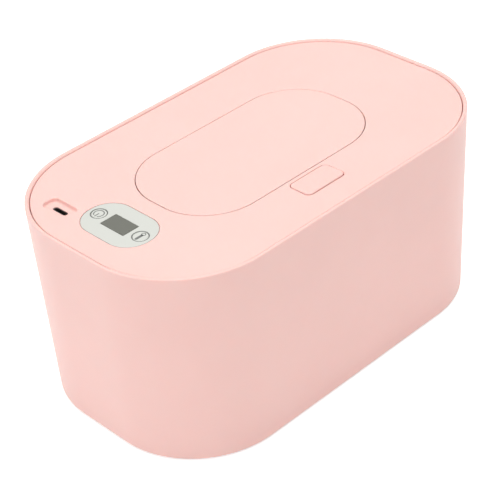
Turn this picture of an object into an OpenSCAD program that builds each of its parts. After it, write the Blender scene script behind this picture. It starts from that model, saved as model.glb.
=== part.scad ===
// Top-heated wipe warmer: a double-walled tub on four feet, closed by a lift-off lid. The lid
// holds the heater, the electronics, a dispensing flap on two gooseneck arms and its release
// button. Millimetres, Z up. The origin is on the surface that the feet stand on, under the
// middle of the tub. The front, with the release button, faces -Y; the control panel is at -X.

/* [Body] */
// Length of the tub over its rim (X)
body_l = 200; // [196:1:214]
// Width of the tub over its rim (Y)
body_w = 120; // [119:1:128]
// Height of the whole warmer on its feet (Z)
body_h = 94.8; // [84.8:1:119.8]
// Corner radius of the rim, seen from above
corner_r = 46; // [45:0.5:50]
// How far each side leans in between the rim and the bottom edge
wall_lean = 2.5; // [0.5:0.25:3]
// Wall thickness of the outer shell
shell_t = 2.2; // [1.8:0.1:2.3]
// Width of the rim that shows round the lid
rim_w = 2; // [1.8:0.1:2.2]
// How far the rim stands above the lid
rim_proud = 0.8; // [0:0.1:1]

/* [Inner tub] */
// Wall thickness of the inner tub
tub_t = 1.6; // [1.2:0.1:1.8]
// How far each side of the inner tub leans in towards its floor
tub_lean = 2; // [1:0.25:3]
// Radius where the inner tub's floor turns up into its sides
tub_floor_r = 6; // [4:0.5:8]

/* [Lid] */
// Thickness of the lid's top
lid_t = 2; // [1.8:0.1:2.2]
// Gap between the lid and the rim
lid_gap = 0.4; // [0.3:0.05:0.5]
// Length of the dispensing opening (X)
opening_l = 68; // [56:1:70]
// Width of the dispensing opening (Y)
opening_w = 26; // [22:1:28]
// Length of the heater plate (X)
heater_l = 156; // [140:1:158]

/* [Flap] */
// Length of the flap (X)
flap_l = 109; // [104:1:110]
// Width of the flap (Y)
flap_w = 59.2; // [58.6:0.1:59.4]
// Corner radius of the flap, seen from above
flap_r = 24; // [18:0.5:25]
// Gap round the flap
flap_gap = 0.4; // [0.35:0.05:0.45]
// Distance from the middle of the flap to each gooseneck arm
arm_x = 18; // [17:0.5:21]
// Width of a gooseneck arm
arm_w = 5; // [4:0.25:5]

/* [Release button] */
// Length of the button (X)
button_l = 21.9; // [20:0.1:23]
// Width of the button (Y)
button_w = 12; // [11:0.1:12.2]
// Corner radius of the button
button_r = 2.5; // [2:0.25:5]
// How far the button stands above the lid
button_proud = 0.6; // [0:0.1:0.8]

/* [Control panel] */
// Width of the panel (X)
panel_w = 22.8; // [20:0.1:23]
// Length of the panel (Y)
panel_l = 35.8; // [35:0.1:37]
// Diameter of a key
key_d = 7.2; // [6:0.1:7.4]
// Distance from the middle of the panel to each key
key_y = 12.7; // [12.5:0.1:13]
// Width of the display (X)
display_w = 8.4; // [7:0.1:10]
// Length of the display (Y)
display_l = 13.9; // [12:0.1:14]
// Diameter of a foot
foot_d = 14; // [10:0.5:18]

/* [Hidden] */
$fn = 64;
eps = 0.5; // how far a cut runs past the face that it opens
smooth = 96; // steps in a turn of the large outlines

// Colours
pink = [0.98, 0.82, 0.78];
grey_white = [0.88, 0.89, 0.87];
display_grey = [0.49, 0.50, 0.47];
natural_plastic = [0.93, 0.92, 0.88];
rubber_grey = [0.55, 0.55, 0.55];
silicone_white = [0.93, 0.93, 0.92];
steel = [0.72, 0.73, 0.75];
aluminium = [0.83, 0.84, 0.85];
film_amber = [0.80, 0.52, 0.20];
board_green = [0.12, 0.40, 0.24];
black_plastic = [0.10, 0.10, 0.11];

// Centres of the four plan corners: every outline of the tub and lid is an offset from them
centre_x = body_l / 2 - corner_r;
centre_y = body_w / 2 - corner_r;

// Heights
lid_top = body_h - rim_proud;
foot_proud = 1; // the shell's bottom edge above the surface
foot_t = 2.6;
cover_z = foot_proud + 0.6; // underside of the base cover
cover_t = 2.2;
shoulder_z = cover_z + cover_t; // the base cover seats against this shoulder of the shell
tub_z = 8; // underside of the inner tub
tub_flange_t = 1.8;
seat_z = lid_top - 9.7; // the lid rests on the inner tub's flange at this height
ledge_z = seat_z - tub_flange_t; // the tub's flange rests on the shell's ledge
plate_z = lid_top - lid_t; // underside of the lid's top
seal_t = 2;
pan_flange_z = seat_z + seal_t;
pan_flange_t = 1.7;
pan_z = lid_top - 17; // underside of the lid's lower half
pan_t = 1.8;
pan_floor = pan_z + pan_t;
film_t = 0.3;
heater_t = 1;
heater_w = body_w - 44;
heater_r = 28;
basin_floor = lid_top - 10; // floor of the recess under the flap
basin_t = 1.6;
basin_z = basin_floor - basin_t;
opening_rim_z = basin_floor + 2;
opening_rim_t = 2;

// Offsets from the corner centres
rim_in = corner_r - rim_w; // inside of the rim
bottom_out = corner_r - wall_lean; // outside of the shell's bottom edge
ledge_in = rim_in - 2;
lid_out = rim_in - lid_gap;
skirt_t = 1.8;
skirt_in = lid_out - skirt_t;
tub_out = corner_r - 5.6; // outside of the inner tub at its flange
pan_flange_out = skirt_in - 0.2;
pan_out = tub_out - tub_t - 0.8;
pan_wall_t = 1.6;
pan_in = pan_out - pan_wall_t;
board_out = pan_in - 0.6;
base_cover_out = bottom_out - shell_t - 0.3;

// Screws: a tapping screw's core fills its pilot hole
screw_d = 2.4;
screw_hole_d = 3.2;
head_d = 5;
head_t = 1.6;
boss_d = 7;
base_screw_seat = 1.4; // plastic under a base screw's head, raised above the base cover
base_screw_at = [body_l / 2 - 48, body_w / 2 - 20];
lid_corner_boss_at = [body_l / 2 - 30, body_w / 2 - 19];
lid_side_boss_at = [32, body_w / 2 - 18];
lid_screw_bite = 8;
foot_at = [body_l / 2 - 30, body_w / 2 - 28];

// Flap, its aperture and its hinge
flap_at = [-0.6, -0.7];
flap_land = 0.3; // upright part of the flap's edge, over an undercut that lets it swing
flap_undercut = lid_t - flap_land;
basin_wall_t = 1.6;
aperture_rear = flap_at[1] + flap_w / 2 + flap_gap;
pivot = [aperture_rear + 4.5, lid_top - 4.2]; // Y and Z of the hinge pins
pin_r = 1;
bore_gap = 0.06;
knuckle_r = 1.9;
neck_in = 6.6; // the gooseneck's ring passes round the edge of the lid's top
neck_out = 8.8;
neck_from = 180; // angles about the pins, from +Y towards +Z
web_from = 258;
web_to = 290;
pocket_x = [arm_x - 7.5, arm_x + arm_w / 2 + 0.5]; // inside of a hinge pocket
pocket_y = [pivot[0] - neck_out - 0.4, pivot[0] + 3.4];
pocket_z = pivot[1] - neck_out - 0.4;
pocket_t = 1.4;
seal_ring_l = opening_l + 6; // outside of the flap's sealing skirt
seal_ring_w = opening_w + 6;
seal_ring_t = 1.8;
seal_ring_z = opening_rim_z + 2.5; // lower edge of the flap's sealing skirt
flap_seal_gap = 0.3;

// Torsion springs round the hinge pins
coil_r = 1.75;
coil_wire = 0.6;
coil_turns = 3;
coil_extra = 30; // turn past the last whole one, after which the wire heads for the lug
coil_pitch = 1.15;
coil_x = pocket_x[0] + 0.7; // the first turn's place
coil_leg_rear = 2.6;
coil_leg_front = 7.4;
wire_sides = 6;
turn_steps = 12;

// Latch and release button
button_at = [-0.9, -(body_w / 2 - 21.2)];
button_gap = 0.3;
button_top_t = 2.4; // from the lid's face down to the button's flange
button_flange_t = 1.2;
button_flange_w = 1.8;
well_gap = 0.3;
well_t = 1.4;
well_z = lid_top - 8;
basin_front = flap_at[1] - flap_w / 2 - flap_gap; // inner face of the basin's front wall
latch_arm_y = basin_front - 4.7; // rear face of the elastic arm
latch_arm_t = 1.2;
latch_w = 16;
nose_w = 8;
nose_z = basin_floor + 2.2;
nose_t = 1.9;
nose_reach = 2.7; // how far the nose stands into the basin
tongue_y = basin_front + 0.8;
tongue_t = 1.4;
tongue_w = 12;
leg_w = 2.6;
leg_x = 6.2;
button_spring_r = 2.2;
button_spring_turns = 5;
button_spring_at = [button_at[0], button_at[1] - 2.7];
spring_tower_z = basin_floor - 1.2;
spring_tower_d = 7;
latch_post_y = latch_arm_y - 2.6;
latch_post_d = 2;

// Control panel and electronics
panel_at = [-(body_l / 2 - 25), 0];
panel_t = 0.8;
panel_r = panel_w / 2 - 0.5;
panel_depth = 0.9;
panel_gap = 0.25;
key_hole_d = key_d + 0.4;
key_flange_t = 0.7;
key_travel = 0.3;
window_flange = 1;
window_flange_t = 0.7;
board_t = 1.6;
board_z = lid_top - 7.8; // top of the control board
board_x = [-(body_l / 2 - 12), -(body_l / 2 - 39)];
board_y = [-22, body_w / 2 - 25];
switch_w = 6;
switch_t = 3.5;
plunger_d = 3.4;
port_at = [-(body_l / 2 - 17.6), 28.7];
port_l = 15.5;
port_w = 7.8;
port_r = 2.5;
port_depth = 1.6;
port_floor_t = 0.8;
port_boss_t = 1.2; // wall round the recess, under the lid's top
port_mouth_l = 8.5; // opening in the recess's floor that a plug passes
port_mouth_w = 2.7;
socket_l = 8.94;
socket_w = 3.26;
socket_wall = 0.3;
socket_cavity = 4.6;
socket_gap = 0.1; // between the socket and the recess's floor over it
board_post_d = 5;
board_posts = [
    [panel_at[0] + 10, -18],
    [panel_at[0] - 10, -18],
    [panel_at[0] + 10, 31],
    [panel_at[0] + 0.5, 23]
];
board_screw_bite = 4;
lead_d = 1.2;
lead_bend = 1.6;
lead_spacing = 3;
heater_lead_at = [panel_at[0] + 12, -6]; // where the first heater lead leaves the board
heater_lead_run = 10;
sensor_at = [panel_at[0] + 6, -2];
sensor_d = 3;
sensor_t = 3;
sensor_lead_d = 0.8;
fuse_at = [panel_at[0] + 22, 8];
fuse_d = 3.2;
fuse_l = 9;

// Points along an arc of a profile
function arc(centre, r, from, to, steps = 5) =
    [for (i = [0 : steps]) let (a = from + (to - from) * i / steps) centre + r * [cos(a), sin(a)]];

// Outside of the shell at a height: it leans in towards the bottom
function shell_out(z) = bottom_out + wall_lean * (z - foot_proud) / (body_h - foot_proud);

// Inside of the inner tub at a height
function tub_in(z) = tub_out - tub_t - tub_lean * (ledge_z - z) / (ledge_z - tub_z - tub_floor_r);

// A rectangle with round corners, about the origin
module rounded_rect(size, r) {
    square([size[0], size[1] - 2 * r], center = true);
    square([size[0] - 2 * r, size[1]], center = true);
    for (sx = [-1, 1], sy = [-1, 1])
        translate([sx * (size[0] / 2 - r), sy * (size[1] / 2 - r)])
            circle(r = r);
}

// A rectangle with half-round ends, long along X
module stadium(length, width) {
    square([length - width, width], center = true);
    for (side = [-1, 1])
        translate([side * (length - width) / 2, 0])
            circle(d = width);
}

// The plan outline that lies at an offset from the corner centres
module outline(offset_out)
    rounded_rect([2 * (centre_x + offset_out), 2 * (centre_y + offset_out)], offset_out, $fn = smooth);

// A flat layer between two heights
module layer(z0, z1)
    translate([0, 0, z0])
        linear_extrude(z1 - z0)
            children();

// Carries a profile of [offset, height] points round the corner centres (cx, cy)
module swept(profile, cx = centre_x, cy = centre_y) {
    for (quarter = [0 : 3]) {
        sx = (quarter == 0 || quarter == 3) ? 1 : -1;
        sy = quarter < 2 ? 1 : -1;
        translate([sx * cx, sy * cy, 0])
            rotate([0, 0, 90 * quarter])
                rotate_extrude(angle = 90, $fn = smooth)
                    polygon(profile);
    }
    for (turn = [0, 180])
        rotate([0, 0, turn]) {
            translate([cx, cy, 0])
                rotate([90, 0, 0])
                    linear_extrude(2 * cy)
                        polygon(profile);
            translate([-cx, cy, 0])
                rotate([90, 0, 90])
                    linear_extrude(2 * cx)
                        polygon(profile);
        }
}

// The middle of a plate whose edge is swept
module core(z0, z1, cx = centre_x, cy = centre_y)
    layer(z0, z1)
        square([2 * cx, 2 * cy], center = true);

// Turns what is drawn in the XY plane so that X runs along Y, Y up and Z along X
module upright() rotate([90, 0, 90]) children();

module at_corners(at)
    for (sx = [-1, 1], sy = [-1, 1])
        translate([sx * at[0], sy * at[1], 0])
            children();

module at_lid_bosses() {
    at_corners(lid_corner_boss_at) children();
    at_corners(lid_side_boss_at) children();
}

// A pan-head screw with its point up: head below z = 0, core above it
module screw(length) {
    translate([0, 0, -head_t])
        cylinder(d1 = head_d - 1.2, d2 = head_d, h = 0.6);
    translate([0, 0, 0.6 - head_t])
        cylinder(d = head_d, h = head_t - 0.6);
    cylinder(d = screw_d, h = length - 1);
    translate([0, 0, length - 1])
        cylinder(d1 = screw_d, d2 = 0.8, h = 1);
}

// A wire of round section: frames are [point, radial direction], across is the axis direction
module wire(frames, wire_d, across) {
    rings = len(frames);
    points = [
        for (f = frames, k = [0 : wire_sides - 1])
            f[0] + wire_d / 2 * (cos(360 * k / wire_sides) * f[1] + sin(360 * k / wire_sides) * across)
    ];
    sides = [
        for (i = [0 : rings - 2], k = [0 : wire_sides - 1])
            let (a = i * wire_sides + k, b = i * wire_sides + (k + 1) % wire_sides)
                each [[a, b, a + wire_sides], [b, b + wire_sides, a + wire_sides]]
    ];
    last = (rings - 1) * wire_sides;
    caps = [
        for (k = [1 : wire_sides - 2])
            each [[0, k + 1, k], [last, last + k, last + k + 1]]
    ];
    polyhedron(points = points, faces = concat(sides, caps), convexity = 8);
}

// Least gap between neighbouring turns of a wire, measured on its points
function least_gap(frames, wire_d) =
    min([for (i = [0 : len(frames) - turn_steps - 1]) norm(frames[i + turn_steps][0] - frames[i][0])])
    - wire_d;

// ---- Base -------------------------------------------------------------------------------

module body_shell() {
    outer_r = 1.2;
    inner_r = 0.4;
    foot_r = 0.9;
    ledge_t = 3;
    shoulder_in = bottom_out - shell_t - 1.7;
    shoulder_t = 1.2;
    top_out = shell_out(body_h - outer_r);
    ledge_low = ledge_z - ledge_t;
    under_ledge = ledge_low - (shell_out(ledge_low) - shell_t - ledge_in);
    over_shoulder = shoulder_z + shoulder_t + 1.8;
    bottom_in = bottom_out - shell_t;
    profile = concat(
        arc([bottom_out - foot_r, foot_proud + foot_r], foot_r, -90, 0, 4),
        arc([top_out - outer_r, body_h - outer_r], outer_r, 0, 90, 6),
        arc([rim_in + inner_r, body_h - inner_r], inner_r, 90, 180, 4),
        [
            [rim_in, ledge_z],
            [ledge_in, ledge_z],
            [ledge_in, ledge_low],
            [shell_out(under_ledge) - shell_t, under_ledge],
            [shell_out(over_shoulder) - shell_t, over_shoulder],
            [shoulder_in, shoulder_z + shoulder_t],
            [shoulder_in, shoulder_z],
            [bottom_in, shoulder_z],
            [bottom_in, foot_proud]
        ]
    );
    color(pink) swept(profile);
}

module inner_tub() {
    bottom_out_offset = tub_out - tub_lean;
    turn_centre = [bottom_out_offset - tub_floor_r, tub_z + tub_floor_r];
    lip_r = 0.5;
    lip_in = tub_out - tub_t;
    profile = concat(
        [[0, tub_z]],
        arc(turn_centre, tub_floor_r, -90, 0, 6),
        [[tub_out, ledge_z], [lid_out + 0.1, ledge_z], [lid_out + 0.1, seat_z]],
        arc([lip_in + lip_r, seat_z - lip_r], lip_r, 90, 180, 3),
        [[lip_in, ledge_z]],
        arc(turn_centre, tub_floor_r - tub_t, 0, -90, 6),
        [[0, tub_z + tub_t]]
    );
    boss_z = shoulder_z + base_screw_seat;
    color(natural_plastic)
        difference() {
            union() {
                swept(profile);
                core(tub_z, tub_z + tub_t);
                at_corners(base_screw_at)
                    layer(boss_z, tub_z + tub_t / 2)
                        circle(d = boss_d);
            }
            at_corners(base_screw_at)
                layer(boss_z - eps, tub_z + 0.6)
                    circle(d = screw_d);
        }
}

module base_cover() {
    recess_t = foot_t - cover_z;
    rib_t = 1.4;
    rib_h = 2;
    color(pink)
        difference() {
            union() {
                layer(cover_z, shoulder_z)
                    outline(base_cover_out);
                at_corners(base_screw_at)
                    layer(shoulder_z - cover_t / 2, shoulder_z + base_screw_seat)
                        circle(d = boss_d + 3);
                for (side = [-1, 1]) {
                    layer(shoulder_z - cover_t / 2, shoulder_z + rib_h)
                        translate([side * base_screw_at[0] / 2, 0])
                            square([rib_t, 2 * base_screw_at[1]], center = true);
                    layer(shoulder_z - cover_t / 2, shoulder_z + rib_h)
                        translate([0, side * base_screw_at[1] / 2])
                            square([2 * base_screw_at[0], rib_t], center = true);
                }
            }
            at_corners(base_screw_at) {
                layer(cover_z - eps, shoulder_z)
                    circle(d = head_d + 1);
                layer(cover_z - eps, shoulder_z + base_screw_seat + eps)
                    circle(d = screw_hole_d);
            }
            at_corners(foot_at)
                layer(cover_z - eps, cover_z + recess_t)
                    circle(d = foot_d + 0.4);
        }
}

module base_screws()
    color(steel)
        at_corners(base_screw_at)
            translate([0, 0, shoulder_z])
                screw(tub_z + 0.5 - shoulder_z);

// A rubber foot: a disc with a rounded lower edge
module foot(side_x, side_y) {
    edge_r = 0.8;
    color(rubber_grey)
        translate([side_x * foot_at[0], side_y * foot_at[1], 0])
            rotate_extrude()
                polygon(concat(
                    [[0, 0]],
                    arc([foot_d / 2 - edge_r, edge_r], edge_r, -90, 0, 4),
                    [[foot_d / 2, foot_t], [0, foot_t]]
                ));
}

module foot_front_left() foot(-1, -1);
module foot_front_right() foot(1, -1);
module foot_rear_left() foot(-1, 1);
module foot_rear_right() foot(1, 1);

// ---- Lid housing --------------------------------------------------------------------------

// Moves to the middle of the flap
module at_flap() translate([flap_at[0], flap_at[1], 0]) children();

module at_button() translate([button_at[0], button_at[1], 0]) children();

module at_panel() translate([panel_at[0], panel_at[1], 0]) children();

module at_port() translate([port_at[0], port_at[1], 0]) children();

// The flap's aperture, grown by an amount
module aperture(grow)
    rounded_rect(
        [flap_l + 2 * (flap_gap + grow), flap_w + 2 * (flap_gap + grow)],
        flap_r + flap_gap + grow, $fn = smooth
    );

// The two hinge pockets, grown outwards by an amount, up to a height
module hinge_pockets(grow, z1)
    for (side = [0, 1])
        mirror([side, 0, 0])
            translate([pocket_x[0] - grow, pocket_y[0] - grow, pocket_z - grow])
                cube([
                    pocket_x[1] - pocket_x[0] + 2 * grow,
                    pocket_y[1] - pocket_y[0] + 2 * grow,
                    z1 - pocket_z + grow
                ]);

// The well that guides the button: open at the rear, where the basin's wall closes it
module button_well(grow, z0, z1) {
    half_x = button_l / 2 + button_flange_w + well_gap + grow;
    front = button_at[1] - button_w / 2 - button_flange_w / 2 - well_gap - grow;
    rear = basin_front - basin_wall_t;
    translate([button_at[0] - half_x, front, z0])
        cube([2 * half_x, rear - front, z1 - z0]);
}

// The lid's top and skirt, before anything is cut in it
module lid_blank() {
    edge_r = 0.35;
    inner_edge = 0.6;
    swept(concat(
        arc([lid_out - edge_r, lid_top - edge_r], edge_r, 90, 0, 3),
        [
            [lid_out, seat_z],
            [skirt_in, seat_z],
            [skirt_in, plate_z - inner_edge],
            [skirt_in - inner_edge, plate_z],
            [0, plate_z],
            [0, lid_top]
        ]
    ));
    core(plate_z, lid_top);
}

// Everything that is moulded under the lid's top
module lid_cover_inside() {
    at_flap()
        layer(basin_z, plate_z + lid_t / 2)
            aperture(basin_wall_t);
    hinge_pockets(pocket_t, plate_z + lid_t / 2);
    button_well(well_t, well_z, plate_z + lid_t / 2);
    at_port()
        layer(lid_top - port_depth - port_floor_t, plate_z + lid_t / 4)
            rotate([0, 0, 90])
                rounded_rect([port_l + 2 * port_boss_t, port_w + 2 * port_boss_t], port_r + port_boss_t);
    at_lid_bosses()
        layer(pan_floor, plate_z + lid_t / 2)
            circle(d = boss_d);
    for (post = board_posts)
        translate([post[0], post[1], 0])
            layer(board_z, plate_z + lid_t / 4)
                circle(d = board_post_d);
}

// Everything that is cut out of the lid
module lid_cover_cuts() {
    top = lid_top + eps;
    at_flap()
        layer(basin_floor, top)
            aperture(0);
    at_flap()
        layer(basin_z - eps, top)
            stadium(opening_l, opening_w);
    hinge_pockets(0, plate_z);
    for (side = [0, 1])
        mirror([side, 0, 0])
            translate([pocket_x[0] - pocket_t - eps, pivot[0], pivot[1]])
                rotate([0, 90, 0])
                    cylinder(r = pin_r, h = pocket_x[1] - pocket_x[0] + 2 * (pocket_t + eps));
    at_button()
        layer(plate_z - eps, top)
            rounded_rect([button_l + 2 * button_gap, button_w + 2 * button_gap], button_r + button_gap);
    button_well(0, well_z - eps, plate_z);
    translate([button_at[0], basin_front - basin_wall_t / 2, nose_z + nose_t / 2])
        cube([nose_w + 1, basin_wall_t + 2 * eps, nose_t + 1], center = true);
    at_panel() {
        layer(lid_top - panel_depth, top)
            rounded_rect(
                [panel_w + 2 * panel_gap, panel_l + 2 * panel_gap],
                panel_r + panel_gap
            );
        layer(plate_z - eps, top)
            square([display_w + 0.3, display_l + 0.3], center = true);
        for (side = [-1, 1])
            translate([0, side * key_y, 0])
                layer(plate_z - eps, top)
                    circle(d = key_hole_d);
    }
    at_port()
        rotate([0, 0, 90]) {
            layer(lid_top - port_depth, top)
                rounded_rect([port_l, port_w], port_r);
            layer(lid_top - port_depth - port_floor_t - eps, top)
                stadium(port_mouth_l, port_mouth_w);
        }
    at_lid_bosses()
        layer(pan_floor - eps, pan_floor + lid_screw_bite)
            circle(d = screw_d);
    for (post = board_posts)
        translate([post[0], post[1], 0])
            layer(board_z - eps, board_z + board_screw_bite)
                circle(d = screw_d);
}

module lid_cover()
    color(pink) {
        difference() {
            union() {
                lid_blank();
                lid_cover_inside();
            }
            lid_cover_cuts();
        }
        at_flap()
            layer(basin_z, opening_rim_z)
                difference() {
                    stadium(opening_l + 2 * opening_rim_t, opening_w + 2 * opening_rim_t);
                    stadium(opening_l, opening_w);
                }
    }

module lid_base() {
    edge = 1;
    collar_in = 3; // how much smaller the collar is than the dispensing opening
    collar_t = 2.5;
    stub_d = 3.2;
    stub_h = 2.4;
    profile = [
        [0, pan_z],
        [pan_out - edge, pan_z],
        [pan_out, pan_z + edge],
        [pan_out, pan_flange_z],
        [pan_flange_out, pan_flange_z],
        [pan_flange_out, pan_flange_z + pan_flange_t],
        [pan_in, pan_flange_z + pan_flange_t],
        [pan_in, pan_floor],
        [0, pan_floor]
    ];
    color(natural_plastic)
        difference() {
            union() {
                swept(profile);
                core(pan_z, pan_floor);
                at_flap()
                    layer(pan_z, basin_z)
                        stadium(opening_l - collar_in + 2 * collar_t, opening_w - collar_in + 2 * collar_t);
                translate([button_spring_at[0], button_spring_at[1], 0]) {
                    layer(pan_z + pan_t / 2, spring_tower_z)
                        circle(d = spring_tower_d);
                    layer(pan_z + pan_t / 2, spring_tower_z + stub_h)
                        circle(d = stub_d);
                }
                for (side = [-1, 1])
                    translate([button_at[0] + side * latch_w / 3, latch_post_y, 0])
                        layer(pan_z + pan_t / 2, pan_floor + 1.6)
                            circle(d = latch_post_d);
            }
            at_flap()
                layer(pan_z - eps, basin_z + eps)
                    stadium(opening_l - collar_in, opening_w - collar_in);
            at_lid_bosses()
                layer(pan_z - eps, pan_floor + eps)
                    circle(d = screw_hole_d);
            for (i = [0, 1])
                translate([heater_lead_at[0] + heater_lead_run, heater_lead_at[1] - i * lead_spacing, 0])
                    layer(pan_z - eps, pan_floor + eps)
                        circle(d = lead_d + 0.8);
            translate([sensor_at[0], sensor_at[1], 0])
                layer(pan_z - eps, pan_floor + eps)
                    circle(d = sensor_d + 0.6);
            translate([fuse_at[0], fuse_at[1], 0])
                layer(pan_z - eps, pan_floor + eps)
                    square([fuse_d + 0.8, fuse_l + 0.8], center = true);
        }
}

// A soft seal between the tub's flange and the lid, with a groove in its lower face
module lid_seal() {
    seal_in = pan_out + 0.2;
    seal_out = pan_flange_out - 0.4;
    middle = (seal_in + seal_out) / 2;
    groove = 0.6;
    color(silicone_white)
        swept([
            [seal_in, seat_z],
            [middle - groove, seat_z],
            [middle, seat_z + groove],
            [middle + groove, seat_z],
            [seal_out, seat_z],
            [seal_out, pan_flange_z],
            [seal_in, pan_flange_z]
        ]);
}

module cover_screws()
    color(steel)
        at_lid_bosses()
            translate([0, 0, pan_z])
                screw(pan_t + lid_screw_bite - 1);

// ---- Heater ---------------------------------------------------------------------------------

// The outline that the heater's layers share, smaller by an inset
module heater_outline(inset)
    difference() {
        rounded_rect([heater_l - 2 * inset, heater_w - 2 * inset], heater_r - inset);
        at_flap()
            stadium(opening_l + 6 + 2 * inset, opening_w + 8 + 2 * inset);
    }

module heater_plate()
    color(aluminium)
        layer(pan_z - film_t - heater_t, pan_z - film_t)
            heater_outline(0);

module heater_film()
    color(film_amber)
        layer(pan_z - film_t, pan_z)
            heater_outline(1);

// A lead from the board down to a height: down, along +X by a run, and down again
module lead(run, z1, z0, d) {
    level = z0 + (z1 - z0) / 2;
    translate([0, 0, level + lead_bend])
        cylinder(d = d, h = z1 - level - lead_bend);
    translate([lead_bend, 0, level + lead_bend])
        rotate([90, 0, 0])
            rotate([0, 0, 180])
                rotate_extrude(angle = 90)
                    translate([lead_bend, 0])
                        circle(d = d);
    translate([lead_bend, 0, level])
        rotate([0, 90, 0])
            cylinder(d = d, h = run - 2 * lead_bend);
    translate([run - lead_bend, 0, level - lead_bend])
        rotate([90, 0, 0])
            rotate_extrude(angle = 90)
                translate([lead_bend, 0])
                    circle(d = d);
    translate([run, 0, z0])
        cylinder(d = d, h = level - lead_bend - z0);
}

module heater_leads()
    color("firebrick")
        for (i = [0, 1])
            translate([heater_lead_at[0], heater_lead_at[1] - i * lead_spacing, 0])
                lead(heater_lead_run, board_z - board_t, pan_z, lead_d);

module temperature_sensor()
    color(black_plastic)
        translate([sensor_at[0], sensor_at[1], pan_z])
            cylinder(d = sensor_d, h = sensor_t);

module sensor_leads() {
    run = 4;
    color("ivory")
        for (side = [-1, 1])
            translate([sensor_at[0] - run, sensor_at[1] + side * 0.8, 0])
                lead(run, board_z - board_t, pan_z + sensor_t, sensor_lead_d);
}

module thermal_fuse()
    color(silicone_white)
        translate([fuse_at[0], fuse_at[1] + fuse_l / 2, pan_z + fuse_d / 2 + 0.02])
            rotate([90, 0, 0])
                cylinder(d = fuse_d, h = fuse_l);

// The soft insert that the wipes are pulled through
module wipe_guide() {
    slack = 0.2;
    rim_t = 1.6;
    web_t = 1.4;
    slot_l = opening_l - 14;
    slot_w = opening_w - 14;
    color(silicone_white)
        at_flap()
            difference() {
                layer(basin_z, opening_rim_z - 0.3)
                    stadium(opening_l - slack, opening_w - slack);
                layer(basin_z + web_t, opening_rim_z)
                    stadium(opening_l - slack - 2 * rim_t, opening_w - slack - 2 * rim_t);
                layer(basin_z - eps, basin_z + web_t + eps)
                    stadium(slot_l, slot_w);
            }
}

// ---- Electronics ------------------------------------------------------------------------------

module control_board()
    color(board_green)
        layer(board_z - board_t, board_z)
            difference() {
                intersection() {
                    outline(board_out);
                    translate([board_x[0], board_y[0]])
                        square([board_x[1] - board_x[0], board_y[1] - board_y[0]]);
                }
                for (post = board_posts)
                    translate(post)
                        circle(d = screw_hole_d);
            }

module board_screws()
    color(steel)
        for (post = board_posts)
            translate([post[0], post[1], board_z - board_t])
                screw(board_t + board_screw_bite - 0.5);

// A socket standing on the board: a thin metal shell round a contact blade, open at the top
module usb_socket() {
    blade_l = 6.7;
    blade_w = 0.7;
    z1 = lid_top - port_depth - port_floor_t - socket_gap;
    color(steel)
        at_port()
            rotate([0, 0, 90]) {
                difference() {
                    layer(board_z, z1)
                        stadium(socket_l, socket_w);
                    layer(z1 - socket_cavity, z1 + eps)
                        stadium(socket_l - 2 * socket_wall, socket_w - 2 * socket_wall);
                }
                layer(z1 - socket_cavity - 0.3, z1 - 0.8)
                    square([blade_l, blade_w], center = true);
            }
}

module display_module()
    color(black_plastic)
        at_panel()
            layer(board_z, plate_z - window_flange_t)
                square([display_w + 0.6, display_l + 0.6], center = true);

// A clear window with a flange that seats under the lid's top
module display_window()
    color(display_grey)
        at_panel() {
            layer(plate_z - window_flange_t, plate_z)
                square([display_w + 2 * window_flange, display_l + 2 * window_flange], center = true);
            layer(plate_z - window_flange_t / 2, lid_top - panel_depth + panel_t)
                square([display_w, display_l], center = true);
        }

module panel_overlay()
    color(grey_white)
        at_panel()
            layer(lid_top - panel_depth, lid_top - panel_depth + panel_t)
                difference() {
                    rounded_rect([panel_w, panel_l], panel_r);
                    square([display_w + 0.3, display_l + 0.3], center = true);
                    for (side = [-1, 1])
                        translate([0, side * key_y])
                            circle(d = key_hole_d);
                }

// A push switch on the board with a bore for its plunger
module key_switch(side)
    color(black_plastic)
        at_panel()
            translate([0, side * key_y, 0])
                difference() {
                    layer(board_z, board_z + switch_t)
                        square([switch_w, switch_w], center = true);
                    layer(board_z + switch_t - 1, board_z + switch_t + eps)
                        circle(d = plunger_d + 0.2);
                }

module power_switch() key_switch(1);
module temperature_switch() key_switch(-1);

// A key: its cap in the panel, a flange that keeps it in, and a stem that meets the plunger
module key(side) {
    cap_z = lid_top - panel_depth + panel_t;
    edge_r = 0.3;
    color(grey_white)
        at_panel()
            translate([0, side * key_y, 0])
                rotate_extrude()
                    polygon(concat(
                        [[0, board_z + switch_t + 0.8], [1.5, board_z + switch_t + 0.8]],
                        [[1.5, plate_z - key_flange_t - 0.1]],
                        [[key_d / 2 + 0.8, plate_z - key_flange_t - 0.1]],
                        [[key_d / 2 + 0.8, plate_z - 0.1], [key_d / 2, plate_z - 0.1]],
                        arc([key_d / 2 - edge_r, cap_z - edge_r], edge_r, 0, 90, 3),
                        [[0, cap_z]]
                    ));
}

module power_key() key(1);
module temperature_key() key(-1);

module plunger(side)
    color("ivory")
        at_panel()
            translate([0, side * key_y, 0])
                layer(board_z + switch_t - 1 + 2 * key_travel - 0.2, board_z + switch_t + 0.8)
                    circle(d = plunger_d);

module power_plunger() plunger(1);
module temperature_plunger() plunger(-1);

// ---- Flap and its hinge -------------------------------------------------------------------------

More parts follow.
